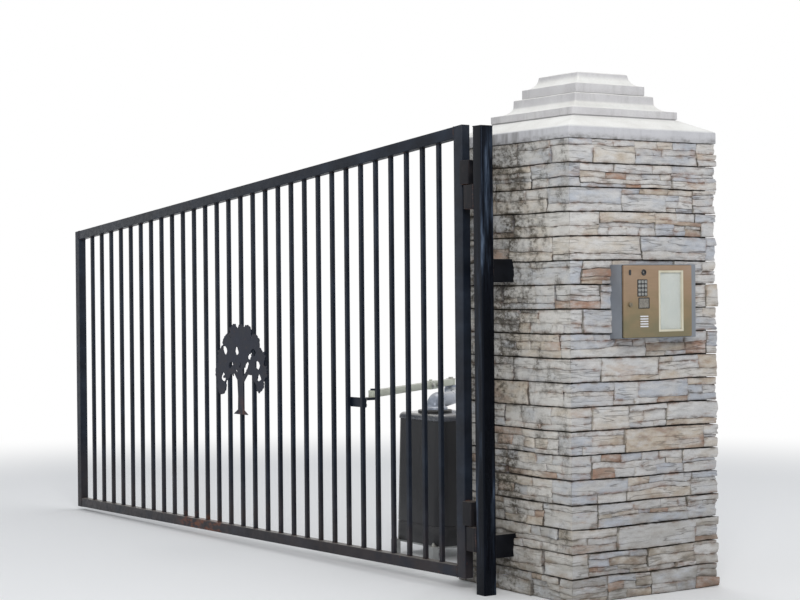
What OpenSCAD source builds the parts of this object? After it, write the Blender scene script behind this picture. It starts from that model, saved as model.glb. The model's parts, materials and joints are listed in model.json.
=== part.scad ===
// Single swing driveway gate with its stone pier, entry keypad and gate operator.
// The leaf stands open: its angle is measured from the closed line across the drive.
// Origin: middle of the pier's foot, at ground level. +X runs along the street to the
// right, +Y runs back from the street, +Z is up. Sizes in millimetres.

/* [Pier] */
// Width of the square pier over its stone faces
pier_w = 830; // [600:5:1200]
// Height of one stone course
course_h = 101.6; // [75:0.1:150]
// Number of stone courses
course_count = 19; // [16:1:24]
// Thickness of the stone veneer at its proudest stones
veneer_t = 40; // [30:1:70]
// How far the most hidden stones stand behind the proudest
stone_relief = 15; // [4:1:22]
// Open joint between two stones
stone_joint = 4; // [1:0.5:8]
// Stones in one course of one side
stones_across = 3; // [2:1:5]

/* [Pier cap] */
// How far the bottom slab's edge stands behind the proudest stones
cap_slab_in = 5; // [0:1:30]
// Height of the slab's upright edge
cap_slab_h = 49; // [30:1:90]
// Height of the weathered slope above the slab's edge
cap_slope_h = 57; // [30:1:90]
// How far the middle tier stands in from the slab's edge
cap_mid_in = 117; // [60:1:140]
// Height of the middle tier's upright face
cap_mid_h = 36; // [20:1:60]
// Height of the hollow moulding above the middle tier's face
cap_mid_cove_h = 46; // [30:1:70]
// How far the neck stands in from the middle tier's face
cap_neck_in = 73; // [40:1:90]
// Height of the neck
cap_neck_h = 25; // [10:1:40]
// How far the top tier stands in from the neck
cap_top_in = 27; // [5:1:40]
// Height of the top tier's upright face
cap_top_h = 45; // [25:1:80]
// Height of the hollow moulding above the top tier's face
cap_top_cove_h = 55; // [30:1:80]
// How far the flat crown stands in from the top tier's face
cap_crown_in = 53; // [20:1:60]

/* [Hinge post] */
// Width of the square steel post
post_w = 63.5; // [50:0.5:100]
// Radius of the post's corners
post_r = 6; // [2:0.5:10]
// Height of the post above ground, without its cap
post_h = 2000; // [1900:5:2200]
// Clear space between the pier and the post
post_gap = 95.5; // [60:0.5:160]
// How far behind the middle of the pier the post stands
post_back = 10; // [-100:1:100]
// Thickness of the flat cap on the post
post_cap_t = 4; // [3:0.5:10]
// How far the cap stands proud of the post on each side
post_cap_lip = 1.5; // [0:0.5:6]
// Height of each bracket that ties the post to the pier
bracket_h = 100; // [60:1:140]
// Height of the lower bracket's middle above ground
bracket_low_z = 205; // [150:5:400]
// Height of the upper bracket's middle above ground
bracket_high_z = 1385; // [1200:5:1500]

/* [Gate hinges] */
// Distance from the post's rear face to the hinge axis
axis_back = 43; // [36:0.5:60]
// Sideways shift of the hinge axis towards the drive from the post's middle
axis_shift = 10; // [0:0.5:12]
// Width of the box-shaped hinge blocks
hinge_w = 55; // [44:1:70]
// Radius of the hinge blocks' upright edges
hinge_r = 5; // [1:0.5:8]
// Height of one hinge block
hinge_h = 103; // [80:1:130]
// How far the fixed block reaches past the hinge axis
hinge_fixed_nose = 20; // [16:0.5:24]
// How far the turning block reaches past the hinge axis
hinge_turn_nose = 14; // [13:0.5:20]
// Diameter of the hinge pin
hinge_pin_d = 20; // [14:1:24]
// Thickness of the thrust washer between the two blocks
hinge_washer_t = 4; // [2:0.5:8]
// Height of the lower hinge's washer above ground
hinge_low_z = 288; // [240:1:450]
// Distance of the upper hinge's washer below the post's top
hinge_high_down = 242; // [150:1:400]

/* [Leaf] */
// Angle of the leaf from its closed line
open_angle = 87.2; // [80:0.1:95]
// Length of the leaf from end face to end face
leaf_len = 3750; // [2400:5:4200]
// Space between the hinge axis and the leaf's end face
leaf_gap = 45.5; // [42:0.5:60]
// Thickness of the frame tubes
frame_t = 45; // [38:0.5:60]
// Radius of the frame tubes' corners
frame_r = 4; // [1:0.5:8]
// Distance from the hinge axis to the frame's face on the drive side
frame_face = 12.5; // [5:0.5:20]
// Width of the hinge stile
hinge_stile_w = 60; // [45:1:80]
// Width of the latch stile
latch_stile_w = 50.8; // [40:0.2:80]
// Height of the top and bottom rails
rail_h = 50.8; // [40:0.2:76]
// Height of the leaf's top above ground at the hinge end
top_hinge_z = 2018; // [1850:1:2150]
// Height of the leaf's top above ground at the latch end
top_latch_z = 1661; // [1550:1:2100]
// Height of the leaf's underside above ground at the hinge end
foot_hinge_z = 55; // [35:1:90]
// Height of the leaf's underside above ground at the latch end
foot_latch_z = 20; // [12:1:90]
// Thickness of the caps on the stiles
stile_cap_t = 3; // [2:0.5:6]
// Width of the square pickets
picket_w = 19; // [12:0.5:32]
// Radius of the pickets' corners
picket_r = 2; // [0.5:0.5:4]
// Spacing of the pickets from middle to middle
picket_pitch = 120.5; // [90:0.5:150]
// Least clear space between a stile and the picket next to it
end_gap = 100; // [60:1:118]

/* [Tree ornament] */
// Height of the tree
tree_h = 466; // [350:2:600]
// Thickness of the plate it is cut from
tree_t = 5; // [3:0.5:10]
// Height of the tree's foot above ground
tree_z = 667; // [400:1:900]
// Distance of the tree's middle from the leaf's end face
tree_pos = 1870; // [900:5:2400]

/* [Gate operator] */
// Distance of the operator's housing behind the pier
operator_back = 478; // [300:2:700]
// Distance of the housing's drive side from the pier's drive side
operator_in = 247; // [180:1:400]
// Width of the housing
operator_w = 300; // [260:2:400]
// Depth of the housing
operator_d = 375; // [320:2:480]
// Height of the housing's underside above ground
operator_foot_h = 70; // [50:1:120]
// Height of the housing
operator_h = 600; // [500:2:640]
// Height of the lid
lid_h = 30; // [20:1:50]
// Radius of the housing's corners
operator_r = 45; // [10:1:60]
// How far the lid stands proud of the housing
lid_lip = 6; // [2:1:12]
// Radius of the lid's rounded shoulder
lid_r = 24; // [10:1:30]
// Height of the seam above the housing's underside, where its cover lifts off
seam_z = 92; // [60:1:160]
// Height and depth of the seam
seam_w = 4; // [2:0.5:8]
// Width of the square feet
foot_w = 35; // [25:1:60]
// How far the feet stand out beside the housing
foot_out = 45; // [36:1:70]
// Thickness of the base plate
base_t = 10; // [6:1:20]
// Depth of the base plate, and distance over the outer faces of the feet
operator_plate_d = 365; // [200:5:480]
// Distance of the crank shaft from the housing's drive side
shaft_in = 98; // [90:1:150]
// Distance of the crank shaft from the housing's street side
shaft_back = 182; // [150:1:230]
// Radius of the dark hub disc under the crank
hub_r = 76; // [50:1:84]
// Thickness of the hub disc
hub_t = 14; // [8:1:20]

/* [Operator's arm] */
// Radius of the crank's root boss
crank_root_r = 62; // [45:1:80]
// Height of the crank's root boss
crank_root_h = 56; // [40:1:62]
// Diameter of the crank's bent tube
crank_d = 62; // [44:1:64]
// Distance between the crank's shaft and its elbow
crank_len = 640; // [560:1:760]
// Direction of the elbow from the shaft, turned from the street's line
crank_turn = 48; // [35:0.5:60]
// How far the crank's tube bows out from the straight line
crank_bow = 60; // [30:1:140]
// Radius of the boss at the elbow
elbow_r = 36; // [32:1:42]
// Height of the boss at the elbow, which carries the connecting arm
elbow_h = 85.4; // [76:0.2:110]
// Width of the connecting arm
arm_w = 38; // [30:1:50]
// Height of the connecting arm
arm_h = 32; // [24:1:40]
// Metal round the arm's pin holes
eye_wall = 15; // [8:1:20]
// Length of the sleeve that sets the arm's length
sleeve_l = 120; // [80:1:180]
// Wall of the sleeve
sleeve_t = 4; // [2:0.5:6]
// Distance of the sleeve from the arm's gate pivot
sleeve_from = 700; // [400:5:800]
// Diameter of the pivot pins
pivot_d = 16; // [10:1:20]
// Diameter of the pivots' heads
pivot_head_d = 28; // [24:1:36]
// Thickness of the pivots' heads
pivot_head_t = 8; // [5:1:12]
// Distance of the arm's gate pivot from the hinge axis along the leaf
gate_pivot_along = 860; // [800:1:900]
// Distance of the arm's gate pivot from the hinge axis across the leaf
gate_pivot_across = 85; // [75:1:110]
// Thickness of the bracket's plate across the pickets
bracket_plate_t = 6; // [4:0.5:12]
// Height of the bracket's plate
bracket_plate_h = 45; // [30:1:80]
// Thickness of the bracket's lug
lug_t = 12; // [8:1:20]
// Width of the bracket's lug
lug_w = 50; // [36:1:70]

/* [Entry keypad] */
// Width of the keypad's housing
entry_w = 412; // [394:2:460]
// Height of the housing
entry_h = 310; // [306:2:380]
// How far the housing stands out from the stone
entry_d = 62; // [40:1:120]
// Distance of the fascia's middle to the right of the pier's middle
entry_x = 0; // [-100:1:100]
// How far the housing's middle lies to the right of the fascia's middle
entry_shift = 16; // [0:1:17]
// Height of the keypad's middle above ground
entry_z = 1250; // [1000:5:1500]
// Width of the metal fascia
fascia_w = 376; // [360:1:378]
// Height of the fascia
fascia_h = 302; // [296:1:308]
// Thickness of the fascia
fascia_t = 12; // [8:0.5:20]
// Radius of the fascia's corners
fascia_r = 6; // [1:0.5:14]
// Width of the directory window's opening
window_w = 138; // [100:1:150]
// Height of the window's opening
window_h = 258; // [200:1:280]
// Distance of the window's middle to the right of the fascia's middle
window_x = 72; // [64:1:90]
// Width of the frame inside the opening
window_frame_w = 9; // [5:0.5:16]
// How far the glass lies behind the fascia's face
window_sunk = 5; // [1:0.5:7]
// Side of one key
key_w = 12; // [9:0.5:14]
// Spacing of the keys
key_pitch = 17; // [15:0.5:20]
// How far the keys stand out
key_out = 3; // [1:0.5:6]
// Width of the dark plate round the keys
keypad_w = 56; // [54:1:66]
// Height of the dark plate
keypad_h = 72; // [70:1:84]
// Distance of the keys' middle to the left of the fascia's middle
keypad_x = 87; // [80:1:100]
// Distance of the keys' middle above the fascia's middle
keypad_z = 56; // [50:1:70]
// Width of the display below the keys
display_w = 60; // [40:1:70]
// Height of the display
display_h = 46; // [30:1:50]
// Distance of the display's middle below the fascia's middle
display_z = 7; // [5:1:12]
// Length of one speaker bar
speaker_w = 44; // [30:1:60]
// Height of one speaker bar
speaker_bar_h = 6; // [3:0.5:8]
// Spacing of the speaker bars
speaker_pitch = 10.5; // [9:0.5:14]
// Distance of the speaker's middle below the fascia's middle
speaker_z = 84; // [78:1:100]
// Distance of the speaker's, the display's and the camera's middle to the left
speaker_x = 79; // [70:1:90]
// Radius of the camera
camera_r = 13; // [8:0.5:16]
// Distance of the camera and the lens above the fascia's middle
camera_z = 121; // [112:1:128]
// Width of the tall lens
lens_w = 12; // [6:0.5:16]
// Distance of the lens's and the lock's middle to the left
lens_x = 154; // [140:1:165]
// Radius of the lock
lock_r = 9; // [6:0.5:12]
// Distance of the lock below the fascia's middle
lock_z = 13; // [0:1:60]

/* [Hidden] */

$fn = 64;

// Running clearance at faces that turn on each other
run = 0.3;
// Clearance round a pin in its bore
pin_fit = 0.1;

pier_h = course_h * course_count;
core_w = pier_w - 2 * veneer_t;
cap_slab_w = pier_w - 2 * cap_slab_in;
cap_mid_w = cap_slab_w - 2 * cap_mid_in;
cap_neck_w = cap_mid_w - 2 * cap_neck_in;
cap_top_w = cap_neck_w - 2 * cap_top_in;
cap_crown_w = cap_top_w - 2 * cap_crown_in;
cap_mid_z = pier_h + cap_slab_h + cap_slope_h;
cap_top_z = cap_mid_z + cap_mid_h + cap_mid_cove_h + cap_neck_h;

post_x = -pier_w / 2 - post_gap - post_w / 2;
axis_x = post_x - axis_shift;
axis_y = post_back + post_w / 2 + axis_back;
hinge_high_z = post_h - hinge_high_down;

leaf_end = leaf_gap + leaf_len;
frame_mid = frame_t / 2 - frame_face;
rail_from = leaf_gap + hinge_stile_w;
rail_to = leaf_end - latch_stile_w;
picket_count = floor((rail_to - rail_from - 2 * end_gap - picket_w) / picket_pitch) + 1;
row_from = (rail_from + rail_to - (picket_count - 1) * picket_pitch - picket_w) / 2;

operator_x = -pier_w / 2 + operator_in;
operator_y = pier_w / 2 + operator_back;
shaft = [operator_x + shaft_in, operator_y + shaft_back];
lid_top = operator_foot_h + operator_h + lid_h;
crank_z = lid_top + hub_t + run;
arm_z = crank_z + elbow_h + run;

// Front of the keypad's housing, which the fascia is screwed to
entry_y = -pier_w / 2 - entry_d;

// Repeatable scatter between 0 and 1, so that neighbouring stones differ
function grain(n) = let (v = sin(n * 129.898) * 437.585453) v - floor(v);

// Height of the leaf's sloping top and underside at a distance along it
function top_at(y) = top_hinge_z + (top_latch_z - top_hinge_z) * (y - leaf_gap) / leaf_len;
function foot_at(y) = foot_hinge_z + (foot_latch_z - foot_hinge_z) * (y - leaf_gap) / leaf_len;

// Place on the ground of a point given in the leaf's own directions
function turned(p, a) = [p[0] * cos(a) - p[1] * sin(a), p[0] * sin(a) + p[1] * cos(a)];
function leaf_point(across, along) =
    [axis_x, axis_y] + turned([across, along], 90 - open_angle);

// The connecting arm is as long as the crank and the open leaf leave between their pivots
gate_pivot = leaf_point(gate_pivot_across, gate_pivot_along);
elbow_at = shaft + crank_len * [cos(crank_turn), sin(crank_turn)];
arm_span = elbow_at - gate_pivot;
arm_len = norm(arm_span);
arm_turn = atan2(arm_span[1], arm_span[0]);
pivot_hole_d = pivot_d + 2 * pin_fit;

module on_leaf() {
    translate([axis_x, axis_y, 0]) rotate([0, 0, 90 - open_angle]) children();
}

// Plate cut from an outline in the leaf's plane, from one distance off the axis to another
module leaf_plate(from, to) {
    translate([from, 0, 0]) rotate([90, 0, 90]) linear_extrude(to - from) children();
}

module pier_core() {
    color("gainsboro")
    translate([-core_w / 2, -core_w / 2, 0]) cube([core_w, core_w, pier_h]);
}

// Left edge of a stone in its course, as a share of the sheet's width
function stone_edge(course, i) =
    i == 0 ? 0 : i == stones_across ? 1 : (i + 0.5 * (grain(7 * course + i) - 0.5)) / stones_across;

// Stone facing on one side of the core, long enough to close one corner.
// The stones stand on a backing sheet, and each second one is flush with the pier's width.
module veneer_sheet(seed) {
    wide = core_w + veneer_t;
    thick = veneer_t - stone_relief;
    translate([-core_w / 2, -pier_w / 2, 0]) {
        translate([0, stone_relief, 0]) cube([wide, thick, pier_h]);
        for (course = [0:course_count - 1], i = [0:stones_across - 1]) {
            from = wide * stone_edge(course + seed, i) + (i == 0 ? 0 : stone_joint / 2);
            to = wide * stone_edge(course + seed, i + 1)
                - (i == stones_across - 1 ? 0 : stone_joint / 2);
            back = (course + i) % 2 == 0 ? 0 : 0.7 * stone_relief * grain(5 * course + i + seed);
            translate([from, back, course * course_h + stone_joint / 2])
                cube([to - from, stone_relief + thick / 2 - back, course_h - stone_joint]);
        }
    }
}

module front_veneer() {
    color("wheat") difference() {
        veneer_sheet(1);
        entry_body();
    }
}

module right_veneer() {
    color("wheat") rotate([0, 0, 90]) veneer_sheet(31);
}

module back_veneer() {
    color("wheat") rotate([0, 0, 180]) veneer_sheet(61);
}

module left_veneer() {
    color("wheat") difference() {
        rotate([0, 0, 270]) veneer_sheet(91);
        bracket_hole(bracket_low_z);
        bracket_hole(bracket_high_z);
    }
}

// Rectangle with round corners, its first corner on the origin
module rounded_rect(w, d, r) {
    translate([r, 0]) square([w - 2 * r, d]);
    translate([0, r]) square([w, d - 2 * r]);
    for (x = [r, w - r], y = [r, d - r]) translate([x, y]) circle(r);
}

// Square cap moulding: one side profile run both ways and intersected
module square_moulding(w) {
    intersection() {
        rotate([90, 0, 0]) linear_extrude(w, center = true) children();
        rotate([90, 0, 90]) linear_extrude(w, center = true) children();
    }
}

// Upright face with a hollow above it that narrows to a neck
module cove_profile(wide, narrow, face_h, cove_h, neck_h) {
    run_in = (wide - narrow) / 2;
    translate([-narrow / 2, 0]) square([narrow, face_h + cove_h + neck_h]);
    difference() {
        translate([-wide / 2, 0]) square([wide, face_h + cove_h]);
        for (side = [-1, 1])
            translate([side * wide / 2, face_h + cove_h]) scale([1, cove_h / run_in])
                circle(run_in);
    }
}

module cap_slab() {
    color("linen") translate([0, 0, pier_h]) square_moulding(cap_slab_w) polygon([
        [-cap_slab_w / 2, 0], [cap_slab_w / 2, 0], [cap_slab_w / 2, cap_slab_h],
        [cap_mid_w / 2, cap_slab_h + cap_slope_h], [-cap_mid_w / 2, cap_slab_h + cap_slope_h],
        [-cap_slab_w / 2, cap_slab_h]]);
}

module cap_middle_tier() {
    color("linen") translate([0, 0, cap_mid_z]) square_moulding(cap_mid_w)
        cove_profile(cap_mid_w, cap_neck_w, cap_mid_h, cap_mid_cove_h, cap_neck_h);
}

module cap_top_tier() {
    color("linen") translate([0, 0, cap_top_z]) square_moulding(cap_top_w)
        cove_profile(cap_top_w, cap_crown_w, cap_top_h, cap_top_cove_h, 0);
}

module hinge_post() {
    color("black") translate([post_x - post_w / 2, post_back - post_w / 2, 0])
        linear_extrude(post_h) rounded_rect(post_w, post_w, post_r, $fn = 32);
}

module hinge_post_cap() {
    wide = post_w + 2 * post_cap_lip;
    color("black") translate([post_x - wide / 2, post_back - wide / 2, post_h])
        linear_extrude(post_cap_t) rounded_rect(wide, wide, post_r, $fn = 32);
}

// Tube that ties the post through the veneer to the pier's core
module post_bracket(mid_z) {
    from = post_x + post_w / 2;
    wide = post_w - 2 * post_r;
    translate([from, post_back - wide / 2, mid_z - bracket_h / 2])
        cube([-core_w / 2 - from, wide, bracket_h]);
}

// Hole in the veneer for such a tube
module bracket_hole(mid_z) {
    wide = post_w - 2 * post_r;
    translate([-pier_w, post_back - wide / 2, mid_z - bracket_h / 2])
        cube([pier_w, wide, bracket_h]);
}

module lower_post_bracket() {
    color("black") post_bracket(bracket_low_z);
}

module upper_post_bracket() {
    color("black") post_bracket(bracket_high_z);
}

// Block of a hinge between two distances from its pin, with rounded upright edges
module hinge_block(from, to) {
    translate([-hinge_w / 2, from, 0])
        linear_extrude(hinge_h) rounded_rect(hinge_w, to - from, hinge_r, $fn = 32);
}

// Block welded to the post, with the washer and the pin that the leaf turns on
module fixed_hinge(washer_z) {
    translate([axis_x, axis_y, washer_z - hinge_washer_t]) {
        translate([0, 0, -hinge_h]) hinge_block(-axis_back, hinge_fixed_nose);
        cylinder(d = hinge_pin_d * 1.5, h = hinge_washer_t);
        cylinder(d = hinge_pin_d, h = hinge_h * 0.8);
    }
}

module lower_fixed_hinge() {
    color("black") fixed_hinge(hinge_low_z);
}

module upper_fixed_hinge() {
    color("black") fixed_hinge(hinge_high_z);
}

// Block welded to the hinge stile, bored for the pin
module turning_hinge(washer_z) {
    on_leaf() translate([0, 0, washer_z + run]) difference() {
        hinge_block(-hinge_turn_nose, leaf_gap);
        translate([0, 0, -1]) cylinder(d = hinge_pin_d + 2 * pin_fit, h = hinge_h * 0.85);
    }
}

module lower_turning_hinge() {
    color("black") turning_hinge(hinge_low_z);
}

module upper_turning_hinge() {
    color("black") turning_hinge(hinge_high_z);
}

// Upright tube or bar of the leaf between two distances along it, cut to the leaf's slopes
module leaf_upright(from, to, thick, r, lower, upper) {
    on_leaf() intersection() {
        leaf_plate(frame_mid - thick, frame_mid + thick) polygon([
            [from - 1, foot_at(from - 1) + lower], [to + 1, foot_at(to + 1) + lower],
            [to + 1, top_at(to + 1) - upper], [from - 1, top_at(from - 1) - upper]]);
        translate([frame_mid - thick / 2, from, 0])
            linear_extrude(2 * top_hinge_z) rounded_rect(thick, to - from, r, $fn = 16);
    }
}

// Sloping tube of the leaf between the two stiles, under a line from one height to another
module leaf_rail(hinge_z, latch_z) {
    slope = atan2(latch_z - hinge_z, rail_to - rail_from);
    on_leaf() intersection() {
        translate([frame_mid - frame_t, rail_from, 0])
            cube([2 * frame_t, rail_to - rail_from, 2 * top_hinge_z]);
        translate([frame_mid - frame_t / 2, rail_from, hinge_z]) rotate([slope, 0, 0])
            translate([0, -rail_h, 0]) rotate([-90, 0, 0]) linear_extrude(leaf_len)
                rounded_rect(frame_t, rail_h * cos(slope), frame_r, $fn = 16);
    }
}

module hinge_stile() {
    color("midnightblue") leaf_upright(leaf_gap, rail_from, frame_t, frame_r, 0, stile_cap_t);
}

module latch_stile() {
    color("midnightblue") leaf_upright(rail_to, leaf_end, frame_t, frame_r, 0, stile_cap_t);
}

// Sloping plate that closes a stile's top
module stile_cap(from, to) {
    on_leaf() intersection() {
        leaf_plate(frame_mid - frame_t, frame_mid + frame_t) polygon([
            [from - 1, top_at(from - 1) - stile_cap_t], [to + 1, top_at(to + 1) - stile_cap_t],
            [to + 1, top_at(to + 1)], [from - 1, top_at(from - 1)]]);
        translate([frame_mid - frame_t / 2, from, 0])
            linear_extrude(2 * top_hinge_z) rounded_rect(frame_t, to - from, frame_r, $fn = 16);
    }
}

module hinge_stile_cap() {
    color("dimgray") stile_cap(leaf_gap, rail_from);
}

module latch_stile_cap() {
    color("dimgray") stile_cap(rail_to, leaf_end);
}

module top_rail() {
    color("midnightblue") leaf_rail(top_at(rail_from), top_at(rail_to));
}

module bottom_rail() {
    color("midnightblue")
        leaf_rail(foot_at(rail_from) + rail_h, foot_at(rail_to) + rail_h);
}

module pickets() {
    color("midnightblue") for (i = [0:picket_count - 1]) {
        from = row_from + i * picket_pitch;
        leaf_upright(from, from + picket_w, picket_w, picket_r, rail_h, rail_h);
    }
}

// Clump of leaves with a scalloped edge
module leaf_clump(x, y, r) {
    lobes = 9;
    translate([x, y]) {
        circle(r * 0.88, $fn = 36);
        for (i = [0:lobes - 1])
            rotate(i * 360 / lobes + 500 * x) translate([r * 0.78, 0]) circle(r * 0.26, $fn = 16);
    }
}

// Slit of sky between two branches, as an upright ellipse
module sky_slit(x, y, w, h, tilt) {
    translate([x, y]) rotate(tilt) scale([w / h, 1]) circle(h / 2, $fn = 24);
}

// Outline of the tree, one unit high, standing on the origin
module tree_outline() {
    polygon([[-0.17, 0], [0.17, 0], [0.085, 0.05], [0.06, 0.14], [0.065, 0.26], [0.12, 0.34],
        [0.29, 0.43], [0.27, 0.47], [0.09, 0.42], [0.05, 0.56], [-0.05, 0.56], [-0.07, 0.4],
        [-0.26, 0.47], [-0.28, 0.43], [-0.11, 0.33], [-0.06, 0.24], [-0.055, 0.14],
        [-0.085, 0.05]]);
    difference() {
        for (clump = [[0, 0.815, 0.185], [-0.21, 0.76, 0.17], [0.22, 0.75, 0.18],
            [-0.38, 0.61, 0.16], [0.39, 0.6, 0.155], [-0.13, 0.6, 0.17], [0.15, 0.59, 0.16],
            [-0.44, 0.44, 0.11], [0.43, 0.42, 0.12]])
            leaf_clump(clump[0], clump[1], clump[2]);
        sky_slit(-0.17, 0.62, 0.022, 0.09, 32);
        sky_slit(0.18, 0.64, 0.024, 0.1, -28);
        sky_slit(-0.03, 0.74, 0.02, 0.08, 12);
        sky_slit(0.29, 0.53, 0.02, 0.075, -50);
        sky_slit(-0.28, 0.52, 0.02, 0.08, 48);
    }
}

module tree_ornament() {
    face = frame_mid - picket_w / 2;
    color("black") on_leaf() leaf_plate(face - tree_t, face)
        translate([leaf_gap + tree_pos, tree_z]) scale(tree_h) tree_outline();
}

// Plate across two pickets with the lug and stud for the connecting arm
module operator_bracket() {
    plate_x = frame_mid + picket_w / 2;
    plate_y = row_from + floor((gate_pivot_along - row_from) / picket_pitch) * picket_pitch;
    color("black") on_leaf() translate([0, 0, arm_z - run]) {
        translate([plate_x, plate_y, -bracket_plate_h])
            cube([bracket_plate_t, picket_pitch + picket_w, bracket_plate_h]);
        translate([plate_x, gate_pivot_along - lug_w / 2, -lug_t])
            cube([gate_pivot_across - plate_x, lug_w, lug_t]);
        translate([gate_pivot_across, gate_pivot_along, -lug_t]) {
            cylinder(d = lug_w, h = lug_t);
            cylinder(d = pivot_d, h = lug_t + arm_h + 3 * run);
            translate([0, 0, lug_t + arm_h + 2 * run])
                cylinder(d = pivot_head_d, h = pivot_head_t);
        }
    }
}

// The connecting arm's own place: its gate pivot on the origin, its elbow along +X
module on_arm() {
    translate([gate_pivot[0], gate_pivot[1], arm_z]) rotate([0, 0, arm_turn]) children();
}

module connecting_arm() {
    color("ivory") on_arm() difference() {
        union() {
            translate([0, -arm_w / 2, 0]) cube([arm_len, arm_w, arm_h]);
            for (x = [0, arm_len])
                translate([x, 0, 0]) cylinder(d = pivot_d + 2 * eye_wall, h = arm_h);
        }
        for (x = [0, arm_len])
            translate([x, 0, -1]) cylinder(d = pivot_hole_d, h = arm_h + 2);
    }
}

module elbow_pin() {
    color("silver") on_arm() translate([arm_len, 0, 0]) {
        cylinder(d = pivot_d, h = arm_h);
        translate([0, 0, arm_h]) cylinder(d = pivot_head_d, h = pivot_head_t);
    }
}

// Sleeve that sets the connecting arm's length, with its clamp bolt
module arm_adjuster() {
    color("silver") on_arm() translate([sleeve_from, 0, 0]) {
        difference() {
            translate([0, -arm_w / 2 - sleeve_t, -sleeve_t])
                cube([sleeve_l, arm_w + 2 * sleeve_t, arm_h + 2 * sleeve_t]);
            translate([-1, -arm_w / 2, 0]) cube([sleeve_l + 2, arm_w, arm_h]);
        }
        translate([sleeve_l / 2, 0, arm_h + sleeve_t]) cylinder(d = pivot_d, h = pivot_head_t);
    }
}

// Bent tube from the hub to the elbow, with a boss at each end
module crank_arm() {
    bend_r = (crank_len * crank_len / 4 + crank_bow * crank_bow) / (2 * crank_bow);
    half = asin(crank_len / 2 / bend_r);
    color("lightsteelblue") {
        translate([shaft[0], shaft[1], crank_z]) cylinder(r = crank_root_r, h = crank_root_h);
        translate([elbow_at[0], elbow_at[1], crank_z])
            cylinder(r = elbow_r, h = elbow_h);
        translate([shaft[0], shaft[1], crank_z + crank_d / 2]) rotate([0, 0, crank_turn])
            translate([crank_len / 2, bend_r - crank_bow, 0])
                rotate([0, 0, 270 - half]) rotate_extrude(angle = 2 * half)
                    translate([bend_r, 0]) circle(d = crank_d);
    }
}

module operator_feet() {
    near = (operator_d - operator_plate_d) / 2;
    color("silver")
    for (x = [-foot_out, operator_w + foot_out - foot_w],
        y = [near, operator_d - near - foot_w])
        translate([operator_x + x, operator_y + y, 0])
            cube([foot_w, foot_w, operator_foot_h]);
}

// Plate between the feet, under the housing
module operator_base() {
    plate_w = operator_w + 2 * (foot_out - foot_w);
    color("silver")
    translate([operator_x + operator_w / 2, operator_y + operator_d / 2,
        operator_foot_h - base_t / 2])
        cube([plate_w, operator_plate_d, base_t], center = true);
}

module operator_housing() {
    color("dimgray") translate([operator_x, operator_y, operator_foot_h]) difference() {
        linear_extrude(operator_h) rounded_rect(operator_w, operator_d, operator_r);
        translate([0, 0, seam_z]) linear_extrude(seam_w) difference() {
            translate([-1, -1]) square([operator_w + 2, operator_d + 2]);
            translate([seam_w, seam_w]) rounded_rect(operator_w - 2 * seam_w,
                operator_d - 2 * seam_w, operator_r - seam_w);
        }
    }
}

// Side view of the lid: square below, rounded shoulders above
module lid_profile(w) {
    translate([-w / 2, 0]) square([w, lid_h - lid_r]);
    translate([lid_r - w / 2, 0]) square([w - 2 * lid_r, lid_h]);
    for (side = [-1, 1]) translate([side * (w / 2 - lid_r), lid_h - lid_r]) circle(lid_r);
}

module operator_lid() {
    wide = operator_w + 2 * lid_lip;
    deep = operator_d + 2 * lid_lip;
    color("darkgray")
    translate([operator_x + operator_w / 2, operator_y + operator_d / 2,
        operator_foot_h + operator_h])
    intersection() {
        translate([-wide / 2, -deep / 2, 0])
            linear_extrude(lid_h) rounded_rect(wide, deep, operator_r + lid_lip);
        rotate([90, 0, 0]) linear_extrude(2 * deep, center = true) lid_profile(wide);
        rotate([90, 0, 90]) linear_extrude(2 * wide, center = true) lid_profile(deep);
    }
}

module operator_hub() {
    color("black") translate([shaft[0], shaft[1], lid_top]) cylinder(r = hub_r, h = hub_t);
}

// Block on the keypad, its middle and its size given on the fascia, between two
// distances in front of the housing
module face_block(x, z, w, h, from, to) {
    translate([entry_x + x - w / 2, entry_y - to, entry_z + z - h / 2])
        cube([w, to - from, h]);
}

// Round piece on the keypad between two distances in front of the housing
module face_round(x, z, r, from, to) {
    translate([entry_x + x, entry_y - from, entry_z + z]) rotate([90, 0, 0])
        cylinder(r = r, h = to - from, $fn = 48);
}

// Tall lens with round ends, twice as high as wide
module lens_block(from, to) {
    face_block(-lens_x, camera_z, lens_w, lens_w, from, to);
    for (side = [-0.5, 0.5])
        face_round(-lens_x, camera_z + side * lens_w, lens_w / 2, from, to);
}

// Body of the keypad, from its front through the veneer to the pier's core
module entry_body() {
    face_block(entry_shift, 0, entry_w, entry_h, -entry_d - veneer_t, 0);
}

module entry_housing() {
    color("slategray") entry_body();
}

module entry_fascia() {
    beyond = fascia_t + 1;
    color("rosybrown") difference() {
        translate([entry_x - fascia_w / 2, entry_y, entry_z - fascia_h / 2]) rotate([90, 0, 0])
            linear_extrude(fascia_t) rounded_rect(fascia_w, fascia_h, fascia_r);
        face_block(window_x, 0, window_w, window_h, -1, beyond);
        face_block(-keypad_x, keypad_z, keypad_w, keypad_h, -1, beyond);
        face_block(-speaker_x, -display_z, display_w, display_h, -1, beyond);
        face_round(-speaker_x, camera_z, camera_r, -1, beyond);
        face_round(-lens_x, -lock_z, lock_r, -1, beyond);
        lens_block(-1, beyond);
    }
}

module entry_window_frame() {
    color("beige") difference() {
        face_block(window_x, 0, window_w, window_h, 0, fascia_t + 1);
        face_block(window_x, 0, window_w - 2 * window_frame_w, window_h - 2 * window_frame_w,
            -1, fascia_t + 2);
    }
}

module entry_window() {
    color("lightgray") face_block(window_x, 0, window_w - 2 * window_frame_w,
        window_h - 2 * window_frame_w, 0, fascia_t - window_sunk);
}

module entry_keypad() {
    color("black") face_block(-keypad_x, keypad_z, keypad_w, keypad_h, 0, fascia_t);
}

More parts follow.
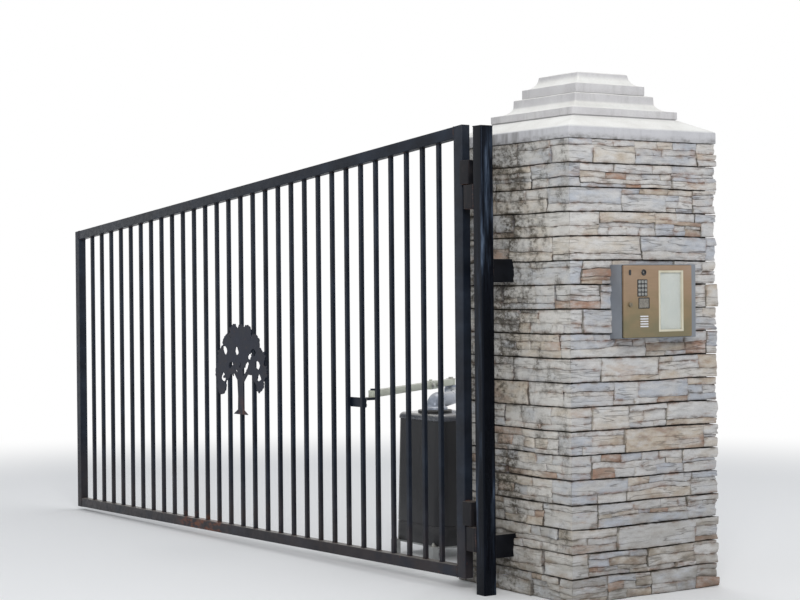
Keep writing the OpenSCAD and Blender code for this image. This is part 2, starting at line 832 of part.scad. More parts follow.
module entry_keys() {
    color("silver") for (i = [-1:1], j = [-1.5:1.5])
        face_block(i * key_pitch - keypad_x, j * key_pitch + keypad_z, key_w, key_w,
            fascia_t, fascia_t + key_out);
}

module entry_display() {
    color("dimgray")
        face_block(-speaker_x, -display_z, display_w, display_h, 0, fascia_t + 1);
}

module entry_camera() {
    color("black") face_round(-speaker_x, camera_z, camera_r, 0, fascia_t + 3);
}

module entry_lens() {
    color("black") lens_block(0, fascia_t + 1);
}

module entry_speaker() {
    color("silver") for (i = [-2:2])
        face_block(-speaker_x, i * speaker_pitch - speaker_z, speaker_w, speaker_bar_h,
            fascia_t, fascia_t + 3);
}

// Lock barrel with its keyway
module entry_lock() {
    color("silver") difference() {
        face_round(-lens_x, -lock_z, lock_r, 0, fascia_t + 6);
        face_block(-lens_x, -lock_z, lock_r / 5, lock_r, fascia_t + 2, fascia_t + 7);
    }
}

pier_core();
front_veneer();
back_veneer();
left_veneer();
right_veneer();
cap_slab();
cap_middle_tier();
cap_top_tier();
hinge_post();
hinge_post_cap();
lower_post_bracket();
upper_post_bracket();
lower_fixed_hinge();
upper_fixed_hinge();
entry_housing();
entry_fascia();
entry_window_frame();
entry_window();
entry_keypad();
entry_keys();
entry_display();
entry_camera();
entry_lens();
entry_speaker();
entry_lock();
operator_feet();
operator_base();
operator_housing();
operator_lid();
operator_hub();
crank_arm();
connecting_arm();
elbow_pin();
arm_adjuster();
hinge_stile();
latch_stile();
top_rail();
bottom_rail();
pickets();
hinge_stile_cap();
latch_stile_cap();
tree_ornament();
operator_bracket();
lower_turning_hinge();
upper_turning_hinge();
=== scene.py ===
"""Looks of the wrought iron driveway gate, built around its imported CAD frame.

Everything is in metres in the frame's own axes: +X along the street to the right,
+Y back from the street, +Z up. Sizes and places come from the CAD nodes' boxes.
"""

import json
import math
import random

import bmesh
import bpy
from mathutils import Matrix, Vector, noise


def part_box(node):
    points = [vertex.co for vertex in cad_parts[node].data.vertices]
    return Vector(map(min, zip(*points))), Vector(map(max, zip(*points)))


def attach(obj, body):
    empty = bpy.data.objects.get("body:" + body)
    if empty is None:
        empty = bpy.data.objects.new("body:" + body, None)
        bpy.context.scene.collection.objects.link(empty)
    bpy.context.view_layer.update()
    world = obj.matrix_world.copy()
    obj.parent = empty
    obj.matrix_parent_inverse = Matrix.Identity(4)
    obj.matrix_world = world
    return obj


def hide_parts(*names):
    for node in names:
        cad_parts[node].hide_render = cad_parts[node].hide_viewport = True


MM = 0.001

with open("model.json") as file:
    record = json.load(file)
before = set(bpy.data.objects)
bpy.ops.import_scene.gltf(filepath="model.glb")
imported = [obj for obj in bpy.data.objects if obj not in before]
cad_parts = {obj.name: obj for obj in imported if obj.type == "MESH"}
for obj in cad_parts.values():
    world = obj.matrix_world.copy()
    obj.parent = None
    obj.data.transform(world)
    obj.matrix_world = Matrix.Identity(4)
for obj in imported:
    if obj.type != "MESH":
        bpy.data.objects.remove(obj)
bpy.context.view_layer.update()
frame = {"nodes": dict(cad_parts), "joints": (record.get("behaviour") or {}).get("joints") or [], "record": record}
slot_of = {part["node"]: part["material_slot"] for part in frame["record"]["subparts"]}
body_of = {
    node: body
    for body, nodes in frame["record"]["behaviour"]["bodies"].items()
    for node in nodes
}
joints = {joint["name"]: Vector(joint["pos_m"]) for joint in frame["joints"]}


# Places in the frame


def middle(node):
    low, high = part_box(node)
    return (low + high) / 2


def at(x, y, z):
    """Place at a point, with the frame's own axes."""
    return Matrix.Translation((x, y, z))


def turned_place(origin, along):
    """Axes at a point whose Y runs level along a direction and whose Z is up."""
    angle = math.atan2(along.y, along.x) - math.pi / 2
    return at(*origin) @ Matrix.Rotation(angle, 4, "Z")


def looking(origin, direction):
    """Place whose Z points along a direction."""
    return at(*origin) @ direction.to_track_quat("Z", "Y").to_matrix().to_4x4()


def facing_street(x, y, z):
    """Place whose Z points to the street and whose Y points up."""
    return at(x, y, z) @ Matrix.Rotation(math.radians(90), 4, "X")


# Turns x, y and z into y, z and x.
AXES_SHIFTED = Matrix(((0, 0, 1, 0), (1, 0, 0, 0), (0, 1, 0, 0), (0, 0, 0, 1)))
LEAF = turned_place(
    joints["gate_hinge"].xy.to_3d(), middle("latch_stile") - middle("hinge_stile")
)


def leaf_points(node):
    """Corners of a CAD node in the leaf's axes: Y along it, X to the street when open."""
    return [LEAF.inverted() @ vertex.co for vertex in frame["nodes"][node].data.vertices]


def leaf_box(node):
    """Lowest and highest corner of a CAD node in the leaf's axes."""
    points = leaf_points(node)
    return Vector(map(min, zip(*points))), Vector(map(max, zip(*points)))


# Mesh building

WELD_STEP, WELD_RIPPLES, WELD_SWELL = 4 * MM, 400, 0.35


def quarter_turn(steps, first=0):
    """Angles from 0 to 90 degrees in equal steps, from one of them on."""
    return [math.radians(90 * step / steps) for step in range(first, steps + 1)]


def in_mm(pairs):
    """Pairs of lengths given in millimetres."""
    return [(a * MM, b * MM) for a, b in pairs]


def ring_loop(radius, z=0.0, steps=32):
    """Points of a level circle round the Z axis, anticlockwise."""
    angles = [2 * math.pi * step / steps for step in range(steps)]
    return [Vector((radius * math.cos(a), radius * math.sin(a), z)) for a in angles]


def rounded_loop(width, depth, radius, z=0.0, steps=4):
    """Points of a level rounded rectangle round the Z axis, anticlockwise."""
    loop = []
    for corner, (right, back) in enumerate(((1, 1), (-1, 1), (-1, -1), (1, -1))):
        for step in range(steps + 1):
            angle = math.radians(90 * (corner + step / steps))
            x = right * (width / 2 - radius) + radius * math.cos(angle)
            y = back * (depth / 2 - radius) + radius * math.sin(angle)
            loop.append(Vector((x, y, z)))
    return loop


def divided(loop, spacing):
    """Loop with points added so that none are further apart than the spacing."""
    points = []
    for start, end in zip(loop, loop[1:] + loop[:1]):
        count = max(1, math.ceil((end - start).length / spacing))
        points += [start.lerp(end, step / count) for step in range(count)]
    return points


def bridge(bm, rows):
    """Faces between rows of equally many vertices, each row closed."""
    for low, high in zip(rows, rows[1:]):
        for i in range(len(low)):
            j = (i + 1) % len(low)
            bm.faces.new((low[i], low[j], high[j], high[i]))


def loft(bm, loops, place=Matrix(), closed=True):
    """Skin over loops of equally many points, with flat ends if it is closed."""
    rows = [[bm.verts.new(place @ point) for point in loop] for loop in loops]
    bridge(bm, rows)
    if closed:
        bm.faces.new(rows[0][::-1])
        bm.faces.new(rows[-1])


def lathe(bm, profile, place=Matrix(), steps=32):
    """Turned piece from radius and height pairs, lowest first."""
    loft(bm, [ring_loop(radius, z, steps) for radius, z in profile], place)


def sweep(bm, path, radii, steps):
    """Tube along a path of points, with a radius at each of them."""
    loops = []
    for i, (point, radius) in enumerate(zip(path, radii)):
        along = (path[min(i + 1, len(path) - 1)] - path[max(i - 1, 0)]).normalized()
        side = along.cross(Vector((0, 0, 1))).normalized()
        up = side.cross(along)
        loops.append([point + side * p.x + up * p.y for p in ring_loop(radius, 0, steps)])
    loft(bm, loops)


def hexagon(bm, place, across, height, washer):
    """Bolt head or nut on its washer, standing on a place's XY plane."""
    rounding = 0.3 * MM
    disc = [(1.05, 0), (1.1, rounding), (1.1, washer - rounding), (1.05, washer)]
    lathe(bm, [(across * size, z) for size, z in disc], place, 24)
    corner = across / math.sqrt(3)
    head = [(corner, washer), (corner, washer + height * 0.82), (corner * 0.9, washer + height)]
    lathe(bm, head, place, 6)


def weld(bm, loop, size, seed):
    """Bead of weld along a closed loop of points, rippled as a hand makes it."""
    centre = sum(loop, Vector()) / len(loop)
    angles = [math.pi * side / 3 for side in range(5)]
    rows = []
    for before, point, after in zip(loop[-1:] + loop, loop, loop[1:] + loop[:1]):
        out = (point - centre).normalized()
        up = (after - before).cross(out).normalized()
        ripple = noise.noise(point * WELD_RIPPLES + Vector((seed, 0, 0)))
        swell = size * (1 + WELD_SWELL * ripple)
        offsets = [swell * (out * math.cos(a) + up * math.sin(a)) for a in angles]
        rows.append([bm.verts.new(point + offset) for offset in offsets])
    bridge(bm, rows + rows[:1])


def weld_round(bm, low, high, size, seed, place=Matrix()):
    """Weld round the upright rectangle between two corners with the same x or y."""
    centre, span = (low + high) / 2, high - low
    level = span.xy.to_3d()
    loop = divided(rounded_loop(level.length, span.z, MM), WELD_STEP)
    up = Vector((0, 0, 1))
    weld(bm, [place @ (centre + level.normalized() * p.x + up * p.y) for p in loop], size, seed)


def in_scene(name, data):
    """New object in the scene."""
    made = bpy.data.objects.new(name, data)
    bpy.context.scene.collection.objects.link(made)
    return made


def finish_piece(name, bm, slot, body="root", stands_for=(), sharp=35, material=None):
    """Turns the mesh into a piece that rides on its body and wears a material."""
    bmesh.ops.recalc_face_normals(bm, faces=bm.faces)
    mesh = bpy.data.meshes.new(name)
    bm.to_mesh(mesh)
    bm.free()
    mesh.polygons.foreach_set("use_smooth", [True] * len(mesh.polygons))
    mesh.set_sharp_from_angle(angle=math.radians(sharp))
    mesh.materials.append(materials[material or slot])
    made = in_scene(name, mesh)
    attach(made, body)
    if stands_for:
        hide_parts(*stands_for)


def refined(node, bevel, material=None):
    """CAD node's own shape with its edges broken, as a piece that stands for the node."""
    bm = bmesh.new()
    bm.from_mesh(frame["nodes"][node].data)
    bmesh.ops.remove_doubles(bm, verts=bm.verts, dist=0.01 * MM)
    flat = math.radians(0.5)
    bmesh.ops.dissolve_limit(bm, angle_limit=flat, verts=bm.verts, edges=bm.edges)
    edges = [
        edge
        for edge in bm.edges
        if len(edge.link_faces) == 2 and edge.calc_face_angle(0) > math.radians(25)
    ]
    rounding = {"offset": bevel, "segments": 2, "profile": 0.6, "clamp_overlap": True}
    bmesh.ops.bevel(bm, geom=edges, affect="EDGES", **rounding)
    finish_piece(
        f"{node}_finish", bm, slot_of[node], body_of[node], [node], material=material
    )


def mesh_of_curve(curve, place):
    """Mesh of a curve or text at a place, with the curve itself thrown away."""
    made = in_scene("curve", curve)
    bpy.context.view_layer.update()
    evaluated = made.evaluated_get(bpy.context.evaluated_depsgraph_get())
    mesh = bpy.data.meshes.new_from_object(evaluated)
    bpy.data.objects.remove(made)
    bm = bmesh.new()
    bm.from_mesh(mesh)
    bmesh.ops.remove_doubles(bm, verts=bm.verts, dist=0.005 * MM)
    bm.transform(place)
    return bm


# Materials


def linear(red, green, blue):
    """Linear colour of a screen colour given from 0 to 255."""
    parts = [value / 255 for value in (red, green, blue)]
    parts = [p / 12.92 if p <= 0.04045 else ((p + 0.055) / 1.055) ** 2.4 for p in parts]
    return (*parts, 1.0)


class Graph:
    """Node tree under construction: each method adds nodes and returns an output.

    A colour of three numbers is a screen colour from 0 to 255, one of four is linear.
    """

    def __init__(self, tree):
        self.tree = tree

    def plug(self, socket, value):
        """Links an output to a socket, or sets the socket to a plain value."""
        if isinstance(value, bpy.types.NodeSocket):
            self.tree.links.new(value, socket)
            return
        if socket.type == "RGBA" and len(value) == 3:
            value = linear(*value)
        socket.default_value = value

    def node(self, kind, inputs=None, **settings):
        made = self.tree.nodes.new("ShaderNode" + kind)
        for key, value in settings.items():
            setattr(made, key, value)
        for key, value in (inputs or {}).items():
            self.plug(made.inputs[key], value)
        return made.outputs

    def math(self, operation, a, b=0.0):
        return self.node("Math", {0: a, 1: b}, operation=operation)["Value"]

    def times(self, product, *factors):
        for factor in factors:
            product = self.math("MULTIPLY", product, factor)
        return product

    def plus(self, a, b):
        return self.math("ADD", a, b)

    def larger(self, a, b):
        return self.math("MAXIMUM", a, b)

    def away(self, value, centre):
        """Distance of a value from a fixed one."""
        return self.math("ABSOLUTE", self.math("SUBTRACT", value, centre))

    def seen_plainly(self):
        """1 for what the camera, a gloss or a clear pane shows, 0 for light that falls."""
        path = self.node("LightPath")
        mirrored = self.larger(path["Is Glossy Ray"], path["Is Transmission Ray"])
        return self.larger(path["Is Camera Ray"], mirrored)


class Surface(Graph):
    """One material under construction, whose colour is laid on coat by coat.

    Its place, with y and z, and the way a point faces are in the frame's axes.
    """

    def __init__(self, name, **sockets):
        self.material = bpy.data.materials.new(name)
        self.material.use_nodes = True
        super().__init__(self.material.node_tree)
        self.shader = self.tree.nodes["Principled BSDF"]
        self.place = self.node("TexCoord")["Object"]
        self.y, self.z = self.axes(self.place)[1:]
        self.facing = self.axes(self.node("NewGeometry")["Normal"])
        self.set(**sockets)

    def set(self, **sockets):
        """Fills the shader's sockets, named with underscores for spaces."""
        for key, value in sockets.items():
            self.plug(self.shader.inputs[key.replace("_", " ")], value)

    def axes(self, vector):
        return list(self.node("SeparateXYZ", {0: vector}))

    def noise(self, frequency, detail=3.0, roughness=0.55, shift=(0, 0, 0)):
        """Noise from 0 to 1 in waves a metre, given as one number or for each axis."""
        waves = frequency if isinstance(frequency, tuple) else (frequency,) * 3
        inputs = {0: self.place, 1: waves, 2: shift}
        spot = self.node("VectorMath", inputs, operation="MULTIPLY_ADD")[0]
        inputs = {"Vector": spot, "Scale": 1.0, "Detail": detail, "Roughness": roughness}
        return self.node("TexNoise", inputs)["Fac"]

    def ramp(self, value, *stops, interpolation="LINEAR"):
        """Colour ramp whose stops are a position and a screen colour or a grey level."""
        made = self.tree.nodes.new("ShaderNodeValToRGB")
        self.tree.links.new(value, made.inputs["Fac"])
        elements = made.color_ramp.elements
        made.color_ramp.interpolation = interpolation
        while len(elements) < len(stops):
            elements.new(0.5)
        for element, (position, *colour) in zip(elements, stops):
            element.position = position
            element.color = linear(*colour) if len(colour) == 3 else (*colour * 3, 1.0)
        return made.outputs["Color"]

    def between(self, value, low, high, start=0.0, end=1.0):
        """Value remapped with a smooth step from low..high to start..end."""
        ends = {"From Min": low, "From Max": high, "To Min": start, "To Max": end}
        inputs = {"Value": value, **ends}
        return self.node("MapRange", inputs, interpolation_type="SMOOTHSTEP")["Result"]

    def coat(self, colour, *shares, blend="MIX"):
        """Lays a colour over the coats so far, by the product of the shares."""
        inputs = {0: self.times(*shares), 6: self.colour, 7: colour}
        self.colour = self.node("Mix", inputs, data_type="RGBA", blend_type=blend)[2]

    def upward(self, share=1.0):
        """Share by which a face looks up, where dust settles."""
        return self.between(self.facing[2], 0.5, 0.95, 0.0, share)

    def finish(self, roughness, height, distance, strength=1.0):
        """Fills colour, roughness and bump, and returns the material."""
        inputs = {"Height": height, "Distance": distance, "Strength": strength}
        normal = self.node("Bump", inputs)["Normal"]
        self.set(Base_Color=self.colour, Roughness=roughness, Normal=normal)
        return self.material


CLEAN = (255, 255, 255)
RUST_Y = 2.4
CAP_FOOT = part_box("cap_slab")[0].z


def leaf_paint():
    """Satin blue-black paint with dust on its tops and a rusty patch on the low rail."""
    s = Surface("leaf_paint", Specular_IOR_Level=0.2)
    broad = s.noise((6, 6, 9), 4)
    s.colour = s.ramp(broad, (0.3, 17, 22, 31), (0.55, 27, 34, 45), (0.8, 40, 49, 62))
    splash = s.between(s.noise(9, 4), 0.3, 0.65, 0.3, 1.0)
    s.coat((66, 58, 56), s.between(s.z, 0.08, 0.5, 0.55, 0.0), splash)
    s.coat((112, 108, 104), s.upward(), s.between(s.noise(30, 4), 0.3, 0.6, 0.45, 1.0))
    patch = s.times(
        s.between(s.away(s.y, RUST_Y), 0.12, 0.3, 1.0, 0.0),
        s.between(s.z, 0.08, 0.13, 1.0, 0.0),
        s.between(s.noise((16, 22, 40), 5), 0.42, 0.62),
    )
    specks = s.times(s.between(s.noise(55), 0.68, 0.76), s.between(s.z, 0.05, 0.3, 0.7, 0.0))
    s.coat(s.ramp(broad, (0.3, 92, 52, 38), (0.7, 120, 74, 52)), s.larger(patch, specks))
    roughness = s.between(s.noise(40), 0.3, 0.7, 0.34, 0.5)
    return s.finish(roughness, s.noise(420, 2), 0.25 * MM, 0.6)


def post_paint():
    """Gloss black paint with soft upright streaks of painted bluish-white reflection."""
    s = Surface("post_paint", Specular_IOR_Level=0.14, Specular_Tint=(178, 200, 235))
    painted_sheen = s.noise((21, 21, 2.1), 5, 0.64, (3.7, 0.0, 0.4))
    # Painted reflection: the two upper stops lay a bluish-white sheen along the streaks.
    stops = (0.44, 8, 9, 13), (0.56, 14, 16, 22), (0.64, 40, 48, 60), (0.76, 98, 112, 132)
    s.colour = s.ramp(painted_sheen, *stops)
    s.coat((96, 94, 92), s.upward(0.8))
    roughness = s.between(painted_sheen, 0.35, 0.75, 0.2, 0.42)
    return s.finish(roughness, s.noise((160, 160, 40)), 0.3 * MM, 0.6)


def hinge_paint():
    """Black paint gone dull and brownish with dust, with rust along its lower edges."""
    s = Surface("hinge_paint", Specular_IOR_Level=0.15)
    cloud = s.noise(22, 5, 0.6)
    s.colour = s.ramp(cloud, (0.28, 18, 19, 24), (0.52, 28, 28, 32), (0.8, 50, 47, 48))
    s.coat((78, 68, 64), s.between(s.noise((90, 90, 7), 4), 0.52, 0.78, 0.0, 0.3))
    under = s.between(s.facing[2], -0.2, -0.7)
    s.coat((92, 62, 52), s.larger(under, s.between(s.noise(75, 4), 0.66, 0.76, 0.0, 0.5)))
    s.coat((112, 104, 98), s.upward(0.6))
    return s.finish(s.between(cloud, 0.3, 0.7, 0.42, 0.62), s.noise(260), 0.5 * MM, 0.7)


def tree_steel():
    """The tree's plate: a paler, chalked paint, browner towards its edges and roots."""
    s = Surface("tree_steel", Specular_IOR_Level=0.2)
    chalk = s.noise(14, 5, 0.6)
    s.colour = s.ramp(chalk, (0.3, 28, 31, 42), (0.55, 38, 42, 54), (0.8, 52, 56, 68))
    foot = s.times(s.between(s.z, 0.66, 0.8, 0.6, 0.0), s.between(chalk, 0.4, 0.65))
    spots = s.between(s.noise(48, 4), 0.6, 0.72, 0.0, 0.2)
    s.coat((98, 66, 52), s.larger(spots, foot))
    return s.finish(s.between(chalk, 0.3, 0.7, 0.38, 0.56), s.noise(300), 0.3 * MM, 0.6)


def weld_bead():
    """Painted weld bead with rust coming through."""
    s = Surface("weld_bead", Specular_IOR_Level=0.2)
    mottle = s.noise(120, 4, 0.6)
    stops = (0.35, 30, 33, 42), (0.5, 48, 45, 48), (0.62, 88, 62, 52), (0.75, 112, 74, 56)
    s.colour = s.ramp(mottle, *stops)
    return s.finish(s.between(mottle, 0.35, 0.7, 0.4, 0.75), mottle, 0.8 * MM)


# Place on the stones' tone ramp and screen colour of each kind of stone.
STONE_TONES = {
    "blue": (0.0, 196, 200, 207),
    "pale": (0.2, 213, 212, 211),
    "white": (0.38, 226, 224, 221),
    "cream": (0.56, 220, 213, 203),
    "tan": (0.72, 205, 191, 173),
    "brown": (0.87, 176, 155, 140),
    "clay": (1.0, 182, 146, 126),
}


def veneer_stone():
    """Split ledgestone: each stone has its own tone, with strata, cracks and mildew, and painted shade along its
    joints and edges and on its west and street faces.

    The stones' meshes carry "stone", their tone, staining and seed, and "seam", which
    is 1 on the outline of a panel and falls to 0 inside a stone.
    """
    s = Surface("veneer_stone", Specular_IOR_Level=0.2)
    tone, stained, seed = s.axes(s.node("Attribute", attribute_name="stone")["Vector"])
    seam = s.node("Attribute", attribute_name="seam")["Fac"]
    seed = s.times(seed, 40.0)
    cloud = s.noise((7, 7, 14), 4, 0.6, seed)
    tone = s.plus(tone, s.between(cloud, 0.25, 0.75, -0.2, 0.2))
    s.colour = s.ramp(tone, *STONE_TONES.values())
    bleach = s.noise((11, 11, 26), 5, 0.65, seed)
    s.coat((222, 220, 217), s.between(bleach, 0.42, 0.7, 0.0, 0.65))
    strata = s.noise((13, 13, 62), 5, 0.66, seed)
    layers = s.ramp(strata, (0.32, 158, 153, 148), (0.46, 232, 231, 229), (0.66, *CLEAN))
    s.coat(layers, 0.45, blend="MULTIPLY")

    wash = s.noise((5, 5, 16), 5, 0.66)
    tints = s.ramp(strata, (0.3, 146, 108, 88), (0.6, 190, 160, 134))
    s.coat(tints, s.between(wash, 0.53, 0.7), s.between(stained, 0.3, 1.0, 0.06, 0.65))
    # Brown stain round each stone's edges, partly painted shade between the stones.
    rims = s.between(s.noise((17, 17, 30), 5, 0.66), 0.44, 0.66, 0.1, 0.85)
    edge_stain_and_shade = s.ramp(wash, (0.42, 132, 122, 112), (0.56, 142, 106, 86))
    s.coat(edge_stain_and_shade, s.between(seam, 0.0, 0.4), rims)
    # Painted shade: near-black on the rims and sides of the stones along the open joints.
    joint_shade = s.between(s.noise((9, 9, 16), 4), 0.38, 0.56, 0.25, 1.0)
    s.coat((34, 30, 27), s.between(seam, 0.5, 0.9, 0.0, 0.95), joint_shade)

    vein = s.away(s.noise((2.8, 2.8, 34), 3, 0.5, seed), 0.5)
    split = s.between(s.noise((6, 6, 22), 2, 0.5, seed), 0.47, 0.55)
    crack = s.times(s.between(vein, 0.003, 0.016, 1.0, 0.0), split)
    s.coat((84, 74, 66), crack, 0.45)
    grit = s.noise(240)
    s.coat(s.ramp(grit, (0.3, 172, 170, 167), (0.55, *CLEAN)), 0.22, blend="MULTIPLY")

    west = s.between(s.facing[0], -0.3, -0.8)
    shaded = s.times(s.between(s.y, -0.36, 0.12), s.between(s.z, 0.1, 1.9, 0.1, 0.17))
    damp = s.between(s.plus(s.noise((9, 9, 5.5), 6, 0.7), shaded), 0.48, 0.7)
    ledges = s.plus(s.noise((36, 36, 60), 5, 0.75), s.between(seam, 0.0, 0.4, 0.0, 0.12))
    # Painted shade: the whole west face a little darker.
    s.coat((186, 182, 170), west, 0.3)
    s.coat((64, 58, 47), damp, west, s.between(ledges, 0.4, 0.64, 0.08, 1.0), 0.88)
    s.coat((108, 101, 88), s.between(s.z, 0.02, 0.7, 0.6, 0.0), s.between(cloud, 0.3, 0.7))
    # Painted shade: the street face a little darker and cooler, more below its middle than above.
    street, height = s.between(s.facing[1], -0.3, -0.8), s.between(s.z, 0.9, 1.7, 0.5, 0.27)
    s.coat((205, 207, 211), street, height, blend="MULTIPLY")

    flakes = s.noise((13, 13, 42), 3, 0.55, seed)
    steps = (0.3, 0.0), (0.4, 0.25), (0.48, 0.5), (0.56, 0.75), (0.66, 1.0)
    relief = s.times(s.ramp(flakes, *steps, interpolation="CONSTANT"), 0.3)
    hewn = s.noise((38, 38, 60), 6, 0.75)
    for layer, share in ((strata, 0.4), (hewn, 0.45), (crack, -0.3), (grit, 0.1)):
        relief = s.plus(relief, s.times(layer, share))
    return s.finish(s.between(grit, 0.3, 0.7, 0.76, 0.94), relief, 7 * MM, 0.9)


def block_core():
    """Dark mortar behind the stones."""
    s = Surface("block_core")
    lumps = s.noise(70, 4)
    s.colour = s.ramp(lumps, (0.3, 48, 44, 39), (0.7, 84, 79, 72))
    return s.finish(0.95, lumps, 3 * MM)


def cast_stone():
    """Pale cast limestone: painted light on its tops, faint runs on its faces, mould under the slab, painted shade
    on the slab's edge and in the tiers' joints.
    """
    s = Surface("cast_stone", Specular_IOR_Level=0.3)
    cloud, pores = s.noise(7, 5, 0.6), s.noise(330, 2)
    s.colour = s.ramp(cloud, (0.25, 190, 188, 189), (0.5, 202, 200, 201), (0.8, 212, 211, 210))
    # Painted light: faces that look up are lighter, as if sunlit.
    tops = s.ramp(cloud, (0.3, 226, 224, 219), (0.65, 241, 240, 236))
    s.coat(tops, s.between(s.facing[2], 0.12, 0.6))
    upright = s.between(s.facing[2], 0.5, 0.1)
    runs = s.noise((24, 24, 2.6), 5, 0.7)
    s.coat((150, 147, 144), upright, s.between(runs, 0.48, 0.72, 0.0, 0.3))
    s.coat(s.ramp(pores, (0.3, 172, 170, 166), (0.45, *CLEAN)), 0.3, blend="MULTIPLY")
    # Painted shade: the slab's upright edge a little darker and bluer.
    s.coat((178, 181, 188), s.between(s.z, CAP_FOOT + 0.05, CAP_FOOT + 0.056, 0.35, 0.0))
    mould = s.times(
        s.between(s.z, CAP_FOOT + 0.002, CAP_FOOT + 0.03, 0.75, 0.0),
        s.between(s.noise((15, 15, 30), 5, 0.7), 0.42, 0.62, 0.25, 1.0),
    )
    drips = s.times(
        s.between(s.facing[0], -0.3, -0.8),
        s.between(s.y, -0.4, 0.1),
        s.between(s.z, CAP_FOOT + 0.04, CAP_FOOT + 0.052, 0.6, 0.0),
        s.between(runs, 0.38, 0.62),
    )
    s.coat((92, 89, 82), s.larger(mould, drips))
    # Dark joint with painted shade in the recess at the foot of each tier.
    for tier, joint_and_shade in (("cap_middle_tier", 0.35), ("cap_top_tier", 0.75)):
        off = s.away(s.z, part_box(tier)[0].z + 2 * MM)
        s.coat((88, 88, 94), upright, s.between(off, 2.2 * MM, 3.6 * MM, joint_and_shade, 0.0))
    relief = s.plus(s.times(cloud, 0.8), s.times(pores, 0.2))
    return s.finish(s.between(cloud, 0.3, 0.7, 0.7, 0.88), relief, 2.5 * MM, 0.6)


def plain_finish(name, dark, light, blotches, low, high, grain, dust=0.35, **sockets):
    """Finish with a soft change of tone and roughness and a fine bump of one grain."""
    s = Surface(name, **sockets)
    tone = s.noise(blotches, 4)
    s.colour = s.ramp(tone, (0.3, *dark), (0.7, *light))
    s.coat((168, 163, 156), s.upward(dust))
    return s.finish(s.between(tone, 0.3, 0.7, low, high), s.noise(grain, 2), 0.3 * MM, 0.5)


def brushed(name, tints, across, roughness, metallic, rise=(0.0, 1.0)):
    """Metal brushed in one direction, its tint changing slowly between two heights."""
    s = Surface(name, Metallic=metallic, Anisotropic=0.5)
    lines = s.noise(across, 2, 0.7)
    patches = s.between(s.noise((9, 9, 14)), 0.2, 0.8, -0.2, 0.2)
    s.colour = s.ramp(s.plus(s.between(s.z, *rise, 0.15, 0.85), patches), *tints)
    s.coat(s.ramp(lines, (0.25, 196, 196, 196), (0.7, *CLEAN)), 0.4, blend="MULTIPLY")
    worn = s.between(lines, 0.2, 0.8, roughness - 0.08, roughness + 0.1)
    return s.finish(worn, lines, 0.12 * MM, 0.5)


def clear_glass():
    """Thin clear pane, a little smeared, that lets the card behind it show."""
    s = Surface("entry_glass", IOR=1.5, Alpha=0.12, Coat_Weight=0.3, Coat_Roughness=0.04)
    smear = s.noise((14, 14, 22), 4)
    s.colour = s.ramp(smear, (0.3, 214, 224, 218), (0.7, 240, 246, 242))
    return s.finish(s.between(smear, 0.3, 0.7, 0.05, 0.16), smear, 0.05 * MM, 0.3)


def directory_card():
    """Pale blank card behind the glass, with soft bands where it has faded."""
    s = Surface("directory_card")
    s.colour = s.ramp(s.noise((7, 7, 10)), (0.3, 178, 181, 178), (0.7, 195, 197, 191))
    s.coat((187, 185, 173), s.between(s.noise((30, 30, 1.5), 2), 0.4, 0.7, 0.0, 0.4))
    return s.finish(0.85, s.noise(500, 2), 0.1 * MM)


# Dark and light tone, blotches a metre, range of roughness, grain a metre and dust.
PLAIN_FINISHES = {
    "bracket_paint": ((8, 9, 13), (18, 20, 26), 14, 0.3, 0.5, 300, 0.5),
    "entry_body": ((116, 121, 128), (132, 137, 144), 9, 0.4, 0.55, 600),
    "entry_frame": ((190, 184, 162), (204, 199, 180), 12, 0.45, 0.6, 500),
    "entry_black": ((20, 21, 24), (38, 40, 44), 20, 0.2, 0.35, 500),
    "entry_display": ((112, 108, 100), (136, 131, 121), 60, 0.2, 0.34, 300),
    "entry_lock": ((112, 104, 88), (138, 130, 112), 70, 0.3, 0.42, 400),
    "entry_eye": ((70, 66, 64), (104, 98, 92), 90, 0.08, 0.16, 300),
    "operator_plastic": ((28, 29, 32), (37, 38, 42), 4, 0.34, 0.5, 900, 0.12),
    "operator_lid": ((64, 67, 74), (82, 86, 94), 5, 0.18, 0.3, 700, 0.45),
    "operator_steel": ((150, 152, 152), (176, 178, 177), 14, 0.42, 0.6, 300),
    "operator_dark": ((14, 15, 17), (26, 27, 30), 16, 0.35, 0.5, 400),
    "crank_grey": ((142, 150, 164), (168, 176, 190), 10, 0.26, 0.38, 500),
    "arm_pale": ((196, 200, 184), (216, 219, 204), 12, 0.38, 0.52, 450, 0.5),
    "zinc_bolt": ((160, 160, 154), (190, 190, 184), 60, 0.34, 0.5, 300),
}
EXTRA_SOCKETS = {
    "bracket_paint": {"Specular_IOR_Level": 0.12},
    "entry_body": {"Metallic": 0.2},
    "entry_display": {"Coat_Weight": 0.3},
    "entry_lock": {"Metallic": 0.5},
    "entry_eye": {"Coat_Weight": 0.6},
    "operator_lid": {"Coat_Weight": 0.5},
    "operator_steel": {"Metallic": 0.5},
    "crank_grey": {"Metallic": 0.2},
    "arm_pale": {"Metallic": 0.1},
    "zinc_bolt": {"Metallic": 0.7},
}
BRONZE = (0.1, 122, 114, 88), (0.4, 140, 122, 94), (0.75, 154, 130, 106), (1.0, 158, 136, 116)
STEEL = (0.0, 200, 201, 204), (1.0, 220, 221, 224)
KEY_STEEL = (0.0, 128, 130, 128), (1.0, 160, 161, 158)
FACE_RISE = [corner.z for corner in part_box("entry_fascia")]

